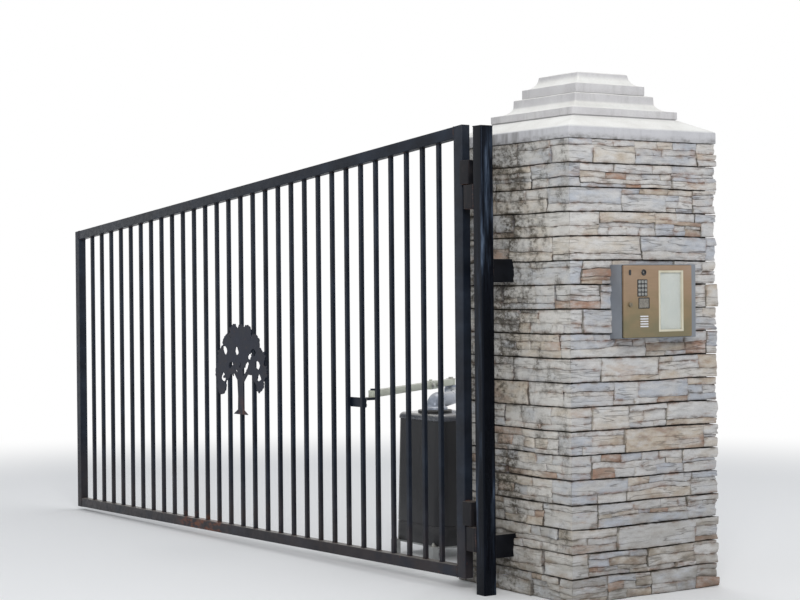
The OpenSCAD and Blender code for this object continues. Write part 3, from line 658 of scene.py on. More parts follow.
# Every finish by its name: a slot of the record, or an extra one that a piece asks for.
materials = {
    "leaf_paint": leaf_paint(),
    "post_paint": post_paint(),
    "hinge_paint": hinge_paint(),
    "weld_bead": weld_bead(),
    "tree_steel": tree_steel(),
    "veneer_stone": veneer_stone(),
    "block_core": block_core(),
    "cast_stone": cast_stone(),
    "entry_face": brushed("entry_face", BRONZE, (8, 8, 900), 0.42, 0.45, FACE_RISE),
    "entry_bright": brushed("entry_bright", STEEL, (400, 8, 8), 0.35, 0.4),
    "entry_key": brushed("entry_key", KEY_STEEL, (8, 8, 400), 0.35, 0.5),
    "entry_glass": clear_glass(),
    "entry_card": directory_card(),
}
for finish, row in PLAIN_FINISHES.items():
    materials[finish] = plain_finish(finish, *row, **EXTRA_SOCKETS.get(finish, {}))


# Ledgestone


class Ledgestone:
    """Stones laid in courses round the pier's four sides, measured along its girth.

    A box is a start and an end along the girth with a lower and an upper height, and a
    panel is the box that a group of stones was split from.
    """

    # Height of a course and of its joint, gaps between stones and what may be split.
    course, joint, seams = 101.6 * MM, 4.2 * MM, (0.3 * MM, 2 * MM)
    strips = (0.25, 0.33, 0.42, 0.55, 0.66, 0.75)
    least_tall, very_tall, least_wide = 44 * MM, 80 * MM, 150 * MM
    # Depth of the stones' sides, rim and cell of the grid, reach and edge of a corner.
    rear, edge, cell, shy, arris = 40 * MM, 3.2 * MM, 11 * MM, 70 * MM, 6 * MM
    deepest, deepest_corner, proudest = 15 * MM, 14 * MM, -2 * MM
    # How far seams sag and sway inside a panel and the courses wave.
    sag, sway, wave = 9 * MM, 14 * MM, 4.5 * MM
    relief, ledge = 2.6 * MM, 1.3 * MM
    weights = {"blue": 16, "pale": 38, "white": 26, "cream": 12, "tan": 4, "brown": 2.5, "clay": 2}
    seam_shares = (0.45, 0.25, 0.08, 0.0)

    def __init__(self, seed):
        self.random = random.Random(seed)
        low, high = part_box("left_veneer")
        self.width = -2 * low.x
        self.height = high.z
        self.courses = round(self.height / self.course)
        self.stones = []

    def next_corner(self, along):
        return math.ceil(along / self.width) * self.width

    def corner_distance(self, along):
        return abs(along - round(along / self.width) * self.width)

    def split(self, panel, box, back):
        """Splits a panel into strips and stones until they have a likely size."""
        start, end, low, high = box
        wide, tall = end - start, high - low
        pick = self.random.random()
        gap = self.random.uniform(*self.seams) / 2
        parts, deeper = (), 0
        if tall > self.least_tall and pick < (0.9 if tall > self.very_tall else 0.42):
            cut = low + tall * self.random.choice(self.strips)
            parts, deeper = ((start, end, low, cut - gap), (start, end, cut + gap, high)), 5 * MM
        elif wide > self.least_wide and pick < 0.36 + wide:
            cut = start + wide * self.random.uniform(0.3, 0.7)
            if self.corner_distance(cut) > self.shy:
                parts = (start, cut - gap, low, high), (cut + gap, end, low, high)
                deeper = 4 * MM
        for part in parts:
            self.split(panel, part, back + self.random.uniform(0, deeper))
        if not parts:
            pick = self.random.random()
            if pick < 0.5:
                back += self.random.uniform(2, 6 if pick > 0.2 else 11) * MM
            self.stones.append((panel, box, min(back, self.deepest)))

    def lay(self):
        """Fills every course with panels, one of them round each corner."""
        rise = self.height / self.courses
        for course in range(self.courses):
            low = course * rise + self.joint / 2
            high = (course + 1) * rise - self.joint / 2
            laps = 0.6 + course % 2, 1.6 - course % 2
            reach = [[self.random.uniform(0.09, 0.3) * lap for lap in laps] for side in range(4)]
            for side, (before, after) in enumerate(reach):
                corner = side * self.width
                first = corner + after
                span = self.width - reach[(side + 1) % 4][0] - after
                cuts = [corner - before, first]
                count = max(1, round(span / self.random.uniform(0.25, 0.4)))
                for i in range(1, count + 1):
                    wander = self.random.uniform(-0.15, 0.15) if i < count else 0
                    cuts.append(first + span * (i + wander) / count)
                for start, end in zip(cuts, cuts[1:]):
                    box = (start + self.joint / 4, end - self.joint / 4, low, high)
                    self.split(box, box, self.random.uniform(0, 2) * MM)

    def warp(self, panel, along, z):
        """Shift along and up that bends the seams, but not the courses."""
        start, end, low, high = panel
        share = (z - low) / (high - low)
        calm = min(1.0, self.corner_distance(along) / self.shy)
        bend = noise.noise(Vector((along * 9, z * 12, start * 31 + low * 17)))
        sideways = self.sway * noise.noise(Vector((along * 8, z * 11, 5))) * calm
        return sideways, self.sag * bend * 4 * share * (1 - share)

    def place(self, along, depth, z):
        """Point at a depth behind the pier's outer faces; corners are mitred."""
        half = self.width / 2
        side, rest = divmod(along + 1e-9, self.width)
        turn = Matrix.Rotation(math.radians(90 * side), 3, "Z")
        rest = min(max(rest, depth), self.width - depth)
        spot = turn @ Vector((rest - half, depth - half, z))
        still = min(1.0, 12 * z, 12 * (self.height - z))
        spot.z += self.wave * noise.noise(spot * 4) * max(0.0, still)
        return spot

    def steps(self, first, last):
        """Places about a cell apart between two others."""
        count = max(1, round((last - first) / self.cell))
        return [first + (last - first) * i / count for i in range(count + 1)]

    def columns(self, start, end):
        """Places of a stone's grid lines along the girth, with its corner if it has one."""
        corner = self.next_corner(start)
        stops = [start, end]
        if start < corner < end:
            stops = [start, corner - self.arris, corner, corner + self.arris, end]
        places = [start]
        for a, b in zip(stops, stops[1:]):
            first = a + self.edge if a == start else a
            last = b - self.edge if b == end else b
            places += [step for step in self.steps(first, last) if step > places[-1] + 1e-6]
        return places + [end]

    def kind(self, box):
        """Tone, staining and seed of one stone: small ones are darker more often."""
        start, end, low, high = box
        warm = 2.2 if (end - start) * (high - low) < 0.005 else 0.5
        shares = [
            share * (warm if name in ("tan", "brown", "clay") else 1.0)
            for name, share in self.weights.items()
        ]
        tone = STONE_TONES[self.random.choices(list(self.weights), shares)[0]][0]
        tone = min(1.0, max(0.0, tone + self.random.uniform(-0.06, 0.06)))
        return Vector((tone, self.random.random(), self.random.random()))

    def build_stone(self, panel, box, back):
        """One stone: a grid over its broken face, whose sides run back into the mortar."""
        start, end, low, high = box
        kind = self.kind(box)
        seed = Vector((kind.z * 50, kind.y * 50, 0))
        across = self.columns(start, end)
        up = [low, *self.steps(low + self.edge, high - self.edge), high]
        right, top = len(across) - 1, len(up) - 1
        tilt = self.random.uniform(-4, 3) * MM
        chips = self.random.uniform(0.6, 3.0) * MM
        if start < self.next_corner(start) < end:
            back = min(self.deepest_corner, back + self.random.uniform(0, 6) * MM)

        def vertex(along, depth, z, seam):
            made = self.bm.verts.new(self.place(along, depth, z))
            made[self.kinds], made[self.seam_layer] = kind, seam
            return made

        front = {}
        for i, along in enumerate(across):
            for j, z in enumerate(up):
                ring = min(i, j, right - i, top - j)
                seam = self.seam_shares[min(ring, 3)]
                where = Vector((along * 13, z * 40, 0)) + seed
                ledge = noise.noise(Vector((along * 10, z * 60, 0)) + seed) * 3
                ledge = math.floor(ledge) + min(1.0, 3 * (ledge % 1.0))
                depth = back + self.relief * noise.fractal(where, 0.7, 2.1, 4)
                depth += self.ledge * ledge + tilt * (z - low) / (high - low)
                shift, rise = self.warp(panel, along, z)
                if ring == 0:
                    chipped = noise.noise(where * 4 + seed)
                    depth += chips * (0.9 + chipped) + max(0.0, chipped - 0.25) * 12 * MM
                    rise += 1.5 * MM * noise.noise(where * 3 + Vector((9, 0, 0)))
                    shift += 1.2 * MM * noise.noise(where * 3 + Vector((0, 9, 0)))
                    if min(along - panel[0], panel[1] - along, z - panel[2], panel[3] - z) < MM:
                        seam = 1.0 if j in (0, top) else 0.75
                if self.corner_distance(along) < 1e-6:
                    shift = 0.0
                    depth += 3 * MM * (1 + noise.noise(where * 3))
                depth = max(depth, self.proudest)
                front[i, j] = vertex(along + shift, depth, z + rise, seam)
        for i in range(right):
            for j in range(top):
                ring = (i, j), (i + 1, j), (i + 1, j + 1), (i, j + 1)
                self.bm.faces.new([front[spot] for spot in ring])
        rim = [(i, 0) for i in range(right)] + [(right, j) for j in range(top)]
        rim += [(i, top) for i in range(right, 0, -1)] + [(0, j) for j in range(top, 0, -1)]
        behind = []
        for i, j in rim:
            shift, rise = self.warp(panel, across[i], up[j])
            if self.corner_distance(across[i]) < 1e-6:
                shift = 0.0
            seam = 1.0 if front[i, j][self.seam_layer] > 0.9 else 0.8
            behind.append(vertex(across[i] + shift, self.rear, up[j] + rise, seam))
        bridge(self.bm, [[front[spot] for spot in rim], behind])

    def build(self):
        self.lay()
        for index, side in enumerate(("front", "right", "back", "left")):
            self.bm = bmesh.new()
            self.kinds = self.bm.verts.layers.float_vector.new("stone")
            self.seam_layer = self.bm.verts.layers.float.new("seam")
            for stone in self.stones:
                end = stone[1][1]
                if (end - 1e-6) // self.width == index or (index == 3 and end < 0):
                    self.build_stone(*stone)
            nodes = [f"{side}_veneer"]
            finish_piece(f"{side}_stones", self.bm, "veneer_stone", stands_for=nodes, sharp=50)


# Cast cap

SLAB_EDGE, MIDDLE_FACE, TOP_FACE = 49 * MM, 36 * MM, 45 * MM
MIDDLE_COVE, NECK_HALF, CROWN_HALF, CAP_JOINT = 46 * MM, 220 * MM, 140 * MM, 4.5 * MM
CAP_BED, CAP_TUCK, CAP_FILLET, SLAB_ROUND, TIER_ROUND = 12 * MM, 30 * MM, 3 * MM, 4 * MM, 2 * MM
CAP_CORNER, CORNER_STEPS, SIDE_STEPS, CAP_SWELL, CAP_RIPPLES = 6 * MM, 3, 24, 0.9 * MM, 9


def wobble(spot):
    """Noise along each axis, the same on every run."""
    return Vector([noise.noise(spot + Vector((0, 0, 20 * axis))) for axis in range(3)])


def cast_loop(half, z, seed):
    """Square loop with a small round at its corners, wavy by less than a millimetre."""
    corners = rounded_loop(2 * half, 2 * half, CAP_CORNER, z, CORNER_STEPS)
    points = []
    for i, (start, end) in enumerate(zip(corners, corners[1:] + corners[:1])):
        count = SIDE_STEPS if i % (CORNER_STEPS + 1) == CORNER_STEPS else 1
        points += [start.lerp(end, step / count) for step in range(count)]
    aside = Vector((seed, 0, 0))
    return [point + CAP_SWELL * wobble(point * CAP_RIPPLES + aside) for point in points]


def square_tier(name, profile, node):
    """Tier of the cap from half-width and height pairs, lowest first."""
    bm = bmesh.new()
    loft(bm, [cast_loop(half, z, len(name)) for half, z in profile])
    finish_piece(name, bm, "cast_stone", stands_for=[node], sharp=28)


def softened(profile, radius, steps=3):
    """Profile with its inner corners rounded."""
    points = [profile[0]]
    for before, corner, after in zip(profile, profile[1:], profile[2:]):
        before, corner, after = Vector(before), Vector(corner), Vector(after)
        start = corner + (before - corner).normalized() * radius
        end = corner + (after - corner).normalized() * radius
        for t in (step / steps for step in range(steps + 1)):
            points.append(start * (1 - t) ** 2 + corner * 2 * t * (1 - t) + end * t * t)
    return points + [profile[-1]]


def cove(wide, narrow, low, high):
    """Half-width and height pairs of a hollow moulding, upright at its top."""
    return [
        (wide - (wide - narrow) * math.sin(angle), high - (high - low) * math.cos(angle))
        for angle in quarter_turn(9)
    ]


def build_cap():
    """The cap's three tiers: a weathered slab and two faces under hollow mouldings."""
    low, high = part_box("cap_slab")
    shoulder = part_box("cap_middle_tier")[1].x
    slab = [(high.x - CAP_BED, low.z), (high.x, low.z), (high.x, low.z + SLAB_EDGE)]
    slab += [(shoulder, high.z), (shoulder - CAP_TUCK, high.z)]
    square_tier("cap_slab_cast", softened(slab, SLAB_ROUND), "cap_slab")
    for tier, face, narrow in (("middle", MIDDLE_FACE, NECK_HALF), ("top", TOP_FACE, CROWN_HALF)):
        low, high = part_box(f"cap_{tier}_tier")
        wide, brow = high.x, low.z + face
        inset, lip = wide - CAP_JOINT, low.z + CAP_JOINT
        profile = [(wide - CAP_BED, low.z), (inset, low.z), (inset, lip), (wide, lip)]
        profile += [(wide, brow), (wide - 2 * CAP_FILLET, brow)]
        crest = brow + MIDDLE_COVE if tier == "middle" else high.z
        hollow = cove(wide - CAP_FILLET, narrow, brow, crest)[1:-1]
        profile = softened(profile, TIER_ROUND)[:-1] + hollow
        profile += [(narrow, high.z - CAP_FILLET), (narrow - CAP_FILLET, high.z)]
        square_tier(f"cap_{tier}_cast", profile, f"cap_{tier}_tier")


# Post and leaf

# CAD shapes that stay, by the width in millimetres of their broken edges.
BEVELS = {
    0.6: ["entry_lens"],
    0.8: ["entry_fascia"],
    1.0: ["hinge_post", "hinge_post_cap", "hinge_stile_cap", "latch_stile_cap", "entry_keypad"],
    1.2: ["hinge_stile", "latch_stile", "pickets", "operator_bracket"],
    1.5: ["entry_window_frame", "operator_feet", "operator_base"],
    1.6: ["arm_adjuster"],
    2.0: ["top_rail", "bottom_rail"],
    2.5: ["entry_housing", "connecting_arm"],
}
HINGE_BLOCK, PICKET_GAP = 103 * MM, 30 * MM
PICKET_WELD, RAIL_WELD, HINGE_WELD, BRACKET_WELD = 2.2 * MM, 1.8 * MM, 3.2 * MM, 3 * MM
BRACKET_PLATE, BOLT_INSET, BOLT_HEIGHTS = 6 * MM, 9.5 * MM, (11 * MM, 34 * MM)
# Width across the flats, height and thickness of the washer.
BRACKET_BOLT = 10 * MM, 5 * MM, 1.2 * MM


def edge_line(node, pick):
    """Height of a rail's upper or lower edge, as a function of the distance along it."""
    points = leaf_points(node)
    ends = [end(point.y for point in points) for end in (min, max)]
    heights = [pick(p.z for p in points if abs(p.y - end) < MM) for end in ends]
    slope = (heights[1] - heights[0]) / (ends[1] - ends[0])
    return lambda along: heights[0] + slope * (along - ends[0])


def picket_places():
    """Middle of each picket along the leaf, told apart by the gaps between them."""
    places = sorted(point.y for point in leaf_points("pickets"))
    groups = [[places[0]]]
    for place in places[1:]:
        if place - groups[-1][-1] > PICKET_GAP:
            groups.append([])
        groups[-1].append(place)
    return [(group[0] + group[-1]) / 2 for group in groups]


def build_leaf_welds():
    """Beads where the pickets stand in the rails and where the rails meet the stiles."""
    bm = bmesh.new()
    low, high = leaf_box("pickets")
    across, side = (low.x + high.x) / 2, high.x - low.x + MM
    square = divided(rounded_loop(side, side, MM), WELD_STEP)
    edges = edge_line("bottom_rail", max), edge_line("top_rail", min)
    for index, along in enumerate(picket_places()):
        for edge in edges:
            loop = [Vector((across + p.x, along + p.y, edge(along + p.y))) for p in square]
            weld(bm, [LEAF @ point for point in loop], PICKET_WELD, index)
    low, high = leaf_box("bottom_rail")
    for node in ("bottom_rail", "top_rail"):
        lower, upper = edge_line(node, min), edge_line(node, max)
        for along in (low.y, high.y):
            start = Vector((low.x, along, lower(along)))
            end = Vector((high.x, along, upper(along)))
            weld_round(bm, start, end, RAIL_WELD, along, LEAF)
    finish_piece("leaf_welds", bm, "leaf_paint", "leaf", sharp=80, material="weld_bead")


def build_hinges():
    """Worn hinge blocks with a bead of weld where each meets the post or the stile."""
    post_low, post_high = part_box("hinge_post")
    stile = leaf_box("hinge_stile")[0].x
    fixed, turning = bmesh.new(), bmesh.new()
    for side in ("lower", "upper"):
        refined(f"{side}_post_bracket", 2 * MM, "bracket_paint")
        for kind in ("fixed", "turning"):
            refined(f"{side}_{kind}_hinge", 1.6 * MM, "hinge_paint")
        low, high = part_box(f"{side}_fixed_hinge")
        start = Vector((max(low.x, post_low.x), post_high.y, low.z))
        end = Vector((high.x, post_high.y, low.z + HINGE_BLOCK))
        weld_round(fixed, start, end, HINGE_WELD, low.z)
        low, high = leaf_box(f"{side}_turning_hinge")
        start = Vector((max(low.x, stile), high.y, low.z))
        weld_round(turning, start, high, HINGE_WELD, low.z, LEAF)
        low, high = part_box(f"{side}_post_bracket")
        weld_round(fixed, low, Vector((low.x, high.y, high.z)), BRACKET_WELD, high.z)
    finish_piece("post_welds", fixed, "post_paint", sharp=80, material="weld_bead")
    finish_piece("hinge_welds", turning, "leaf_paint", "leaf", sharp=80, material="weld_bead")


def build_bracket_bolts():
    """Four bolts through the leaf's bracket plate, two on each picket it is fixed to."""
    bm = bmesh.new()
    low, high = leaf_box("operator_bracket")
    for along in (low.y + BOLT_INSET, high.y - BOLT_INSET):
        for height in BOLT_HEIGHTS:
            spot = (low.x + BRACKET_PLATE, along, low.z + height)
            hexagon(bm, LEAF @ looking(spot, Vector((1, 0, 0))), *BRACKET_BOLT)
    finish_piece("bracket_bolts", bm, "leaf_paint", "leaf", material="zinc_bolt")


# Tree ornament, in shares of its height from the middle of its foot

# Middle and reach of each clump of leaves.
LEAF_CLUMPS = (
    (-0.16, 0.88, 0.115), (-0.01, 0.91, 0.10), (0.14, 0.88, 0.12), (-0.33, 0.78, 0.13),
    (0.31, 0.77, 0.13), (0.0, 0.75, 0.13), (-0.17, 0.73, 0.115), (0.17, 0.72, 0.12),
    (-0.45, 0.63, 0.13), (0.44, 0.62, 0.13), (-0.28, 0.60, 0.125), (0.27, 0.60, 0.125),
    (-0.09, 0.60, 0.11), (0.10, 0.59, 0.11), (-0.50, 0.47, 0.12), (0.49, 0.46, 0.12),
    (-0.35, 0.46, 0.11), (0.33, 0.46, 0.11), (-0.45, 0.35, 0.095), (0.45, 0.30, 0.11),
    (-0.20, 0.50, 0.075), (0.20, 0.49, 0.075),
)  # fmt: skip
# Both ends of the trunk's and the limbs' pieces, with their half width at each.
BRANCHES = (
    (0.0, -0.03, 0.0, 0.20, 0.070, 0.060), (0.0, 0.20, 0.01, 0.44, 0.060, 0.070),
    (0.0, 0.03, -0.16, -0.01, 0.05, 0.012), (0.0, 0.03, 0.16, -0.01, 0.05, 0.012),
    (-0.01, 0.34, -0.16, 0.47, 0.028, 0.022), (-0.16, 0.47, -0.38, 0.50, 0.022, 0.012),
    (0.02, 0.36, 0.15, 0.48, 0.028, 0.022), (0.15, 0.48, 0.40, 0.40, 0.022, 0.014),
    (0.0, 0.44, -0.08, 0.66, 0.035, 0.02), (0.01, 0.44, 0.13, 0.66, 0.032, 0.018),
)  # fmt: skip
# Middle and reach of the places where the leaves open.
LEAF_GAPS = (
    (-0.31, 0.69, 0.064), (-0.22, 0.64, 0.052), (-0.40, 0.55, 0.066), (0.09, 0.69, 0.058),
    (0.36, 0.70, 0.060), (0.23, 0.54, 0.058), (-0.15, 0.54, 0.056), (0.41, 0.40, 0.064),
    (-0.43, 0.41, 0.060),
)  # fmt: skip
TREE_LOW, TREE_HIGH, TREE_STEP, SMALLEST_GAP = (-0.64, -0.02), (0.64, 1.06), 0.0045, 1e-4


def tree_field(x, z):
    """Above zero where the plate has metal."""
    spot = Vector((x, z, 0.0))
    near, further = noise.voronoi(spot * 25)[0][:2]
    leaves = 0.5 * (further - near) - 0.22 + 0.2 * noise.noise(spot * 9)
    value = max(1 - math.hypot(x - cx, z - cz) / reach for cx, cz, reach in LEAF_CLUMPS) + leaves
    for cx, cz, reach in LEAF_GAPS:
        value -= max(0.0, 1 - math.hypot(x - cx, z - cz) / reach)
    for ax, az, bx, bz, wide, narrow in BRANCHES:
        dx, dz = bx - ax, bz - az
        along = min(1.0, max(0.0, ((x - ax) * dx + (z - az) * dz) / (dx**2 + dz**2)))
        away = math.hypot(x - ax - along * dx, z - az - along * dz)
        value = max(value, 10 * (wide + (narrow - wide) * along - away))
    return min(value, 10 * z)


def contours(field, low, high, step):
    """Closed lines along which a field over a rectangle crosses zero."""
    columns, rows = (math.ceil((high[i] - low[i]) / step) for i in (0, 1))
    spots = [(i, j) for i in range(columns + 1) for j in range(rows + 1)]
    values = {(i, j): field(low[0] + i * step, low[1] + j * step) for i, j in spots}
    following = {}
    for i, j in spots:
        if i == columns or j == rows:
            continue
        ring = [(i, j), (i + 1, j), (i + 1, j + 1), (i, j + 1)]
        sides = zip(ring, ring[1:] + ring[:1])
        crossed = [(a, b) for a, b in sides if (values[a] > 0) != (values[b] > 0)]
        for side, entry in zip(crossed, crossed[1:] + crossed[:1]):
            if values[side[0]] > 0:
                following[frozenset(side)] = frozenset(entry)
    lines = []
    while following:
        side, line = next(iter(following)), []
        while side in following:
            a, b = sorted(side)
            share = values[a] / (values[a] - values[b])
            line.append(Vector([low[i] + (a[i] + (b[i] - a[i]) * share) * step for i in (0, 1)]))
            side = following.pop(side)
        lines.append(line)
    return lines


def signed_area(line):
    return sum(a.x * b.y - b.x * a.y for a, b in zip(line, line[1:] + line[:1])) / 2


def tree_outlines():
    """The tree's outline and the gaps between its leaves, without loose leaves."""
    lines = contours(tree_field, TREE_LOW, TREE_HIGH, TREE_STEP)
    outer = max(lines, key=lambda line: abs(signed_area(line)))
    turn = math.copysign(1.0, signed_area(outer))
    gaps = [line for line in lines if signed_area(line) * turn < -SMALLEST_GAP]
    return [
        [(line[i - 1] + line[i] * 2 + line[(i + 1) % len(line)]) / 4 for i in range(len(line))]
        for line in [outer, *gaps]
    ]


def build_tree():
    """Plate tree cut to its outline, filled from a curve and set on the drive side."""
    low, high = leaf_box("tree_ornament")
    thick, width, height = high - low
    edge = 0.4 * MM
    outlines = tree_outlines()
    left, foot = (min(point[i] for point in outlines[0]) for i in (0, 1))
    right, top = (max(point[i] for point in outlines[0]) for i in (0, 1))
    stretch = (width - 2 * edge) / (right - left)
    curve = bpy.data.curves.new("tree", "CURVE")
    curve.dimensions, curve.fill_mode = "2D", "BOTH"
    curve.extrude, curve.bevel_depth, curve.bevel_resolution = thick / 2 - edge, edge, 1
    for outline in outlines:
        spline = curve.splines.new("POLY")
        spline.points.add(len(outline) - 1)
        spline.use_cyclic_u = True
        for target, point in zip(spline.points, outline):
            rise = (point.y - foot) / (top - foot) * (height - 2 * edge) + edge
            target.co = ((point.x - (left + right) / 2) * stretch, rise, 0, 1)
    place = at((low.x + high.x) / 2, (low.y + high.y) / 2, low.z)
    bm = mesh_of_curve(curve, LEAF @ place @ AXES_SHIFTED)
    finish_piece("tree_plate", bm, "leaf_paint", "leaf", ["tree_ornament"], 20, "tree_steel")


# Entry keypad

DISPLAY_SLATS, SLAT_SHARE, DISPLAY_EDGE, BEZEL = 9, 0.85, 4 * MM, 3 * MM
SPEAKER_BARS, SPEAKER_BAR = 5, 6 * MM
KEY_ORDER, KEY = "123456789*0#", 12 * MM


def entry_slab(bm, low, high, front, behind, radius=MM, bevel=0.4 * MM):
    """Rounded slab facing the street, between two corners in x and z and two depths."""
    wide, tall = high[0] - low[0], high[1] - low[1]
    ends = [(bevel * (1 - math.cos(a)), bevel * (1 - math.sin(a))) for a in quarter_turn(3)]
    ends += [(behind - front - depth, inset) for depth, inset in reversed(ends)]
    loops = [
        rounded_loop(tall - 2 * inset, wide - 2 * inset, max(radius - inset, 0.2 * MM), depth)
        for depth, inset in ends
    ]
    place = at((low[0] + high[0]) / 2, front, (low[1] + high[1]) / 2)
    loft(bm, loops, place @ AXES_SHIFTED.transposed())


def entry_piece(name, slot, slabs, nodes=(), **finish):
    """Piece of the keypad that is made of slabs."""
    bm = bmesh.new()
    for slab in slabs:
        entry_slab(bm, *slab)
    finish_piece(name, bm, slot, stands_for=nodes, **finish)


def turned_piece(name, slot, profile, place, steps, nodes=(), **finish):
    """Piece turned from radius and height pairs."""
    bm = bmesh.new()
    lathe(bm, profile, place, steps)
    finish_piece(name, bm, slot, stands_for=nodes, **finish)


def stepped(radius, top, steps):
    """Radius and height pairs from insets and drops from a rim, in millimetres."""
    return [(radius - inset, top - drop) for inset, drop in in_mm(steps)]


def corners_of(node, grow=0.0):
    """Lower left and upper right corner of a node of the keypad, as x and z."""
    low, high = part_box(node)
    return (low.x - grow, low.z - grow), (high.x + grow, high.z + grow)


def build_entry_window():
    """Black rim round the face that stands for the shade in the gap round it, the blank card in its window and the
    clear pane.
    """
    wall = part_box("entry_housing")[0].y
    face, window = corners_of("entry_fascia", 1.6 * MM), corners_of("entry_window", 0.5 * MM)
    # Painted shade: a black rim just round the face, where the gap round the fascia is in shade.
    shade_rim = (*face, wall - 2.4 * MM, wall + MM, 3 * MM)
    entry_piece("entry_shade_rim", "entry_black", [shade_rim])
    card = (*window, wall - 3.4 * MM, wall - 1.4 * MM)
    entry_piece("entry_card", "entry_glass", [card], material="entry_card")
    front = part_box("entry_window")[0].y
    pane = (*window, front, front + 1.5 * MM)
    entry_piece("entry_pane", "entry_glass", [pane], ["entry_window"])


def build_entry_display():
    """Display with a raised bezel round its slats."""
    low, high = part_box("entry_display")
    centre = middle("entry_display")
    bm = bmesh.new()
    entry_slab(bm, *corners_of("entry_display"), low.y + MM, high.y, BEZEL)
    outer = divided(rounded_loop(high.x - low.x, high.z - low.z, BEZEL), 5 * MM)
    share = 1 - BEZEL / max(point.length for point in outer)
    inner = [point * share for point in outer]
    lift = Vector((0, 0, 2 * MM))
    loops = [outer, [p + lift for p in outer], [p + lift for p in inner], inner]
    loft(bm, loops, facing_street(centre.x, low.y + 2 * MM, centre.z), closed=False)
    finish_piece("entry_display_bezel", bm, "entry_black")
    left, right = low.x + DISPLAY_EDGE, high.x - DISPLAY_EDGE
    pitch = (high.z - low.z - 2 * DISPLAY_EDGE) / DISPLAY_SLATS
    front, behind = low.y + 0.4 * MM, low.y + 2 * MM
    slats = []
    for index in range(DISPLAY_SLATS):
        z = low.z + DISPLAY_EDGE + pitch * index
        slat = ((left, z), (right, z + SLAT_SHARE * pitch), front, behind, 0.5 * MM, 0.3 * MM)
        slats.append(slat)
    nodes = ["entry_display"]
    entry_piece("entry_display_slats", "entry_black", slats, nodes, material="entry_display")


def build_entry_camera():
    """Camera's ring with its eye sunk in it."""
    low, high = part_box("entry_camera")
    centre = middle("entry_camera")
    radius, deep = (high.x - low.x) / 2, high.y - low.y
    place = facing_street(centre.x, high.y, centre.z)
    ring = [(radius, 0), *stepped(radius, deep, [(0, 1.5), (1.5, 0), (4, 0), (5.5, 4)])]
    ring.append((0.5 * MM, deep - 5 * MM))
    turned_piece("entry_camera_ring", "entry_black", ring, place, 40, ["entry_camera"], sharp=30)
    eye = [(size, deep - drop) for size, drop in in_mm([(5.4, 6), (5, 3.4), (3, 2.4), (0.3, 2)])]
    finish = {"sharp": 60, "material": "entry_eye"}
    turned_piece("entry_camera_eye", "entry_black", eye, place, 24, **finish)


def build_entry_speaker():
    """Bright bars over the speaker."""
    low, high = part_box("entry_speaker")
    pitch = (high.z - low.z - SPEAKER_BAR) / (SPEAKER_BARS - 1)
    bars = []
    for index in range(SPEAKER_BARS):
        z = low.z + pitch * index
        corners = (low.x, z), (high.x, z + SPEAKER_BAR)
        bars.append((*corners, low.y, high.y + 0.5 * MM, 2.8 * MM, 0.8 * MM))
    entry_piece("entry_speaker_bars", "entry_bright", bars, ["entry_speaker"], sharp=60)


def build_keys():
    """Twelve rounded keys with their numerals, in the usual telephone order."""
    low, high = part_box("entry_keys")
    across, down = (high.x - low.x - KEY) / 2, (high.z - low.z - KEY) / 3
    text = bpy.data.curves.new("numerals", "FONT")
    text.size, text.extrude, text.align_x, text.align_y = 8.5 * MM, 0.2 * MM, "CENTER", "CENTER"
    keys, marks = [], bmesh.new()
    for index, mark in enumerate(KEY_ORDER):
        text.body = mark
        x, z = low.x + across * (index % 3), high.z - down * (index // 3)
        keys.append(((x, z - KEY), (x + KEY, z), low.y, high.y + 0.5 * MM, 2.2 * MM, 0.7 * MM))
        place = facing_street(x + KEY / 2, low.y - 0.05 * MM, z - KEY / 2)
        numeral = mesh_of_curve(text.copy(), place)
        mesh = bpy.data.meshes.new("numeral")
        numeral.to_mesh(mesh)
        numeral.free()
        marks.from_mesh(mesh)
    finish = {"sharp": 60, "material": "entry_key"}
    entry_piece("entry_key_caps", "entry_bright", keys, ["entry_keys"], **finish)
    finish_piece("entry_numerals", marks, "entry_bright", material="entry_black")


# Operator

# Height and inset of the housing's foot and of its seam, in millimetres.
HOUSING_STEPS = (
    (0, 3), (1, 1), (3, 0), (90, 0), (92, 1.2), (92, 4), (96, 4), (96, 1.2), (98, 0),
)  # fmt: skip
HOUSING_CORNER, HOUSING_FLARE = 45 * MM, 17 * MM
LID_STEPS = (-2, 6), (0, 1.5), (0.8, 0.4), (1.6, 0), (4, 0)
LID_LIP, LID_SHOULDER, LID_CORNER = 4 * MM, 24 * MM, 51 * MM
HUB_STEPS = (0, 2), (2, 0), (5, 0), (5.5, 1.2), (7.5, 1.2), (8, 0)
HUB_MARGIN = 8 * MM
FOOT_BOLT, FOOT_NUT = 17 * MM, (16 * MM, 9 * MM, 2 * MM)
STUD = (4.5, 0), (5, 1), (5, 17), (4, 18)


def foot_of(node):
    """Size of a CAD node and the place in the middle of its foot."""
    low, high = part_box(node)
    return high - low, at((low.x + high.x) / 2, (low.y + high.y) / 2, low.z)


def moulded(name, node, profile, corner, follow, material=None):
    """Piece of the housing from height and inset pairs, with round upright corners.

    The corners' radius follows the inset by a share of it.
    """
    size, place = foot_of(node)
    bm = bmesh.new()
    loops = []
    for z, inset in profile:
        wide, deep = size.x - 2 * inset, size.y - 2 * inset
        loops.append(rounded_loop(wide, deep, corner - inset * follow, z, 12))
    loft(bm, loops, place)
    finish_piece(name, bm, "operator_plastic", "root", [node], 40, material)


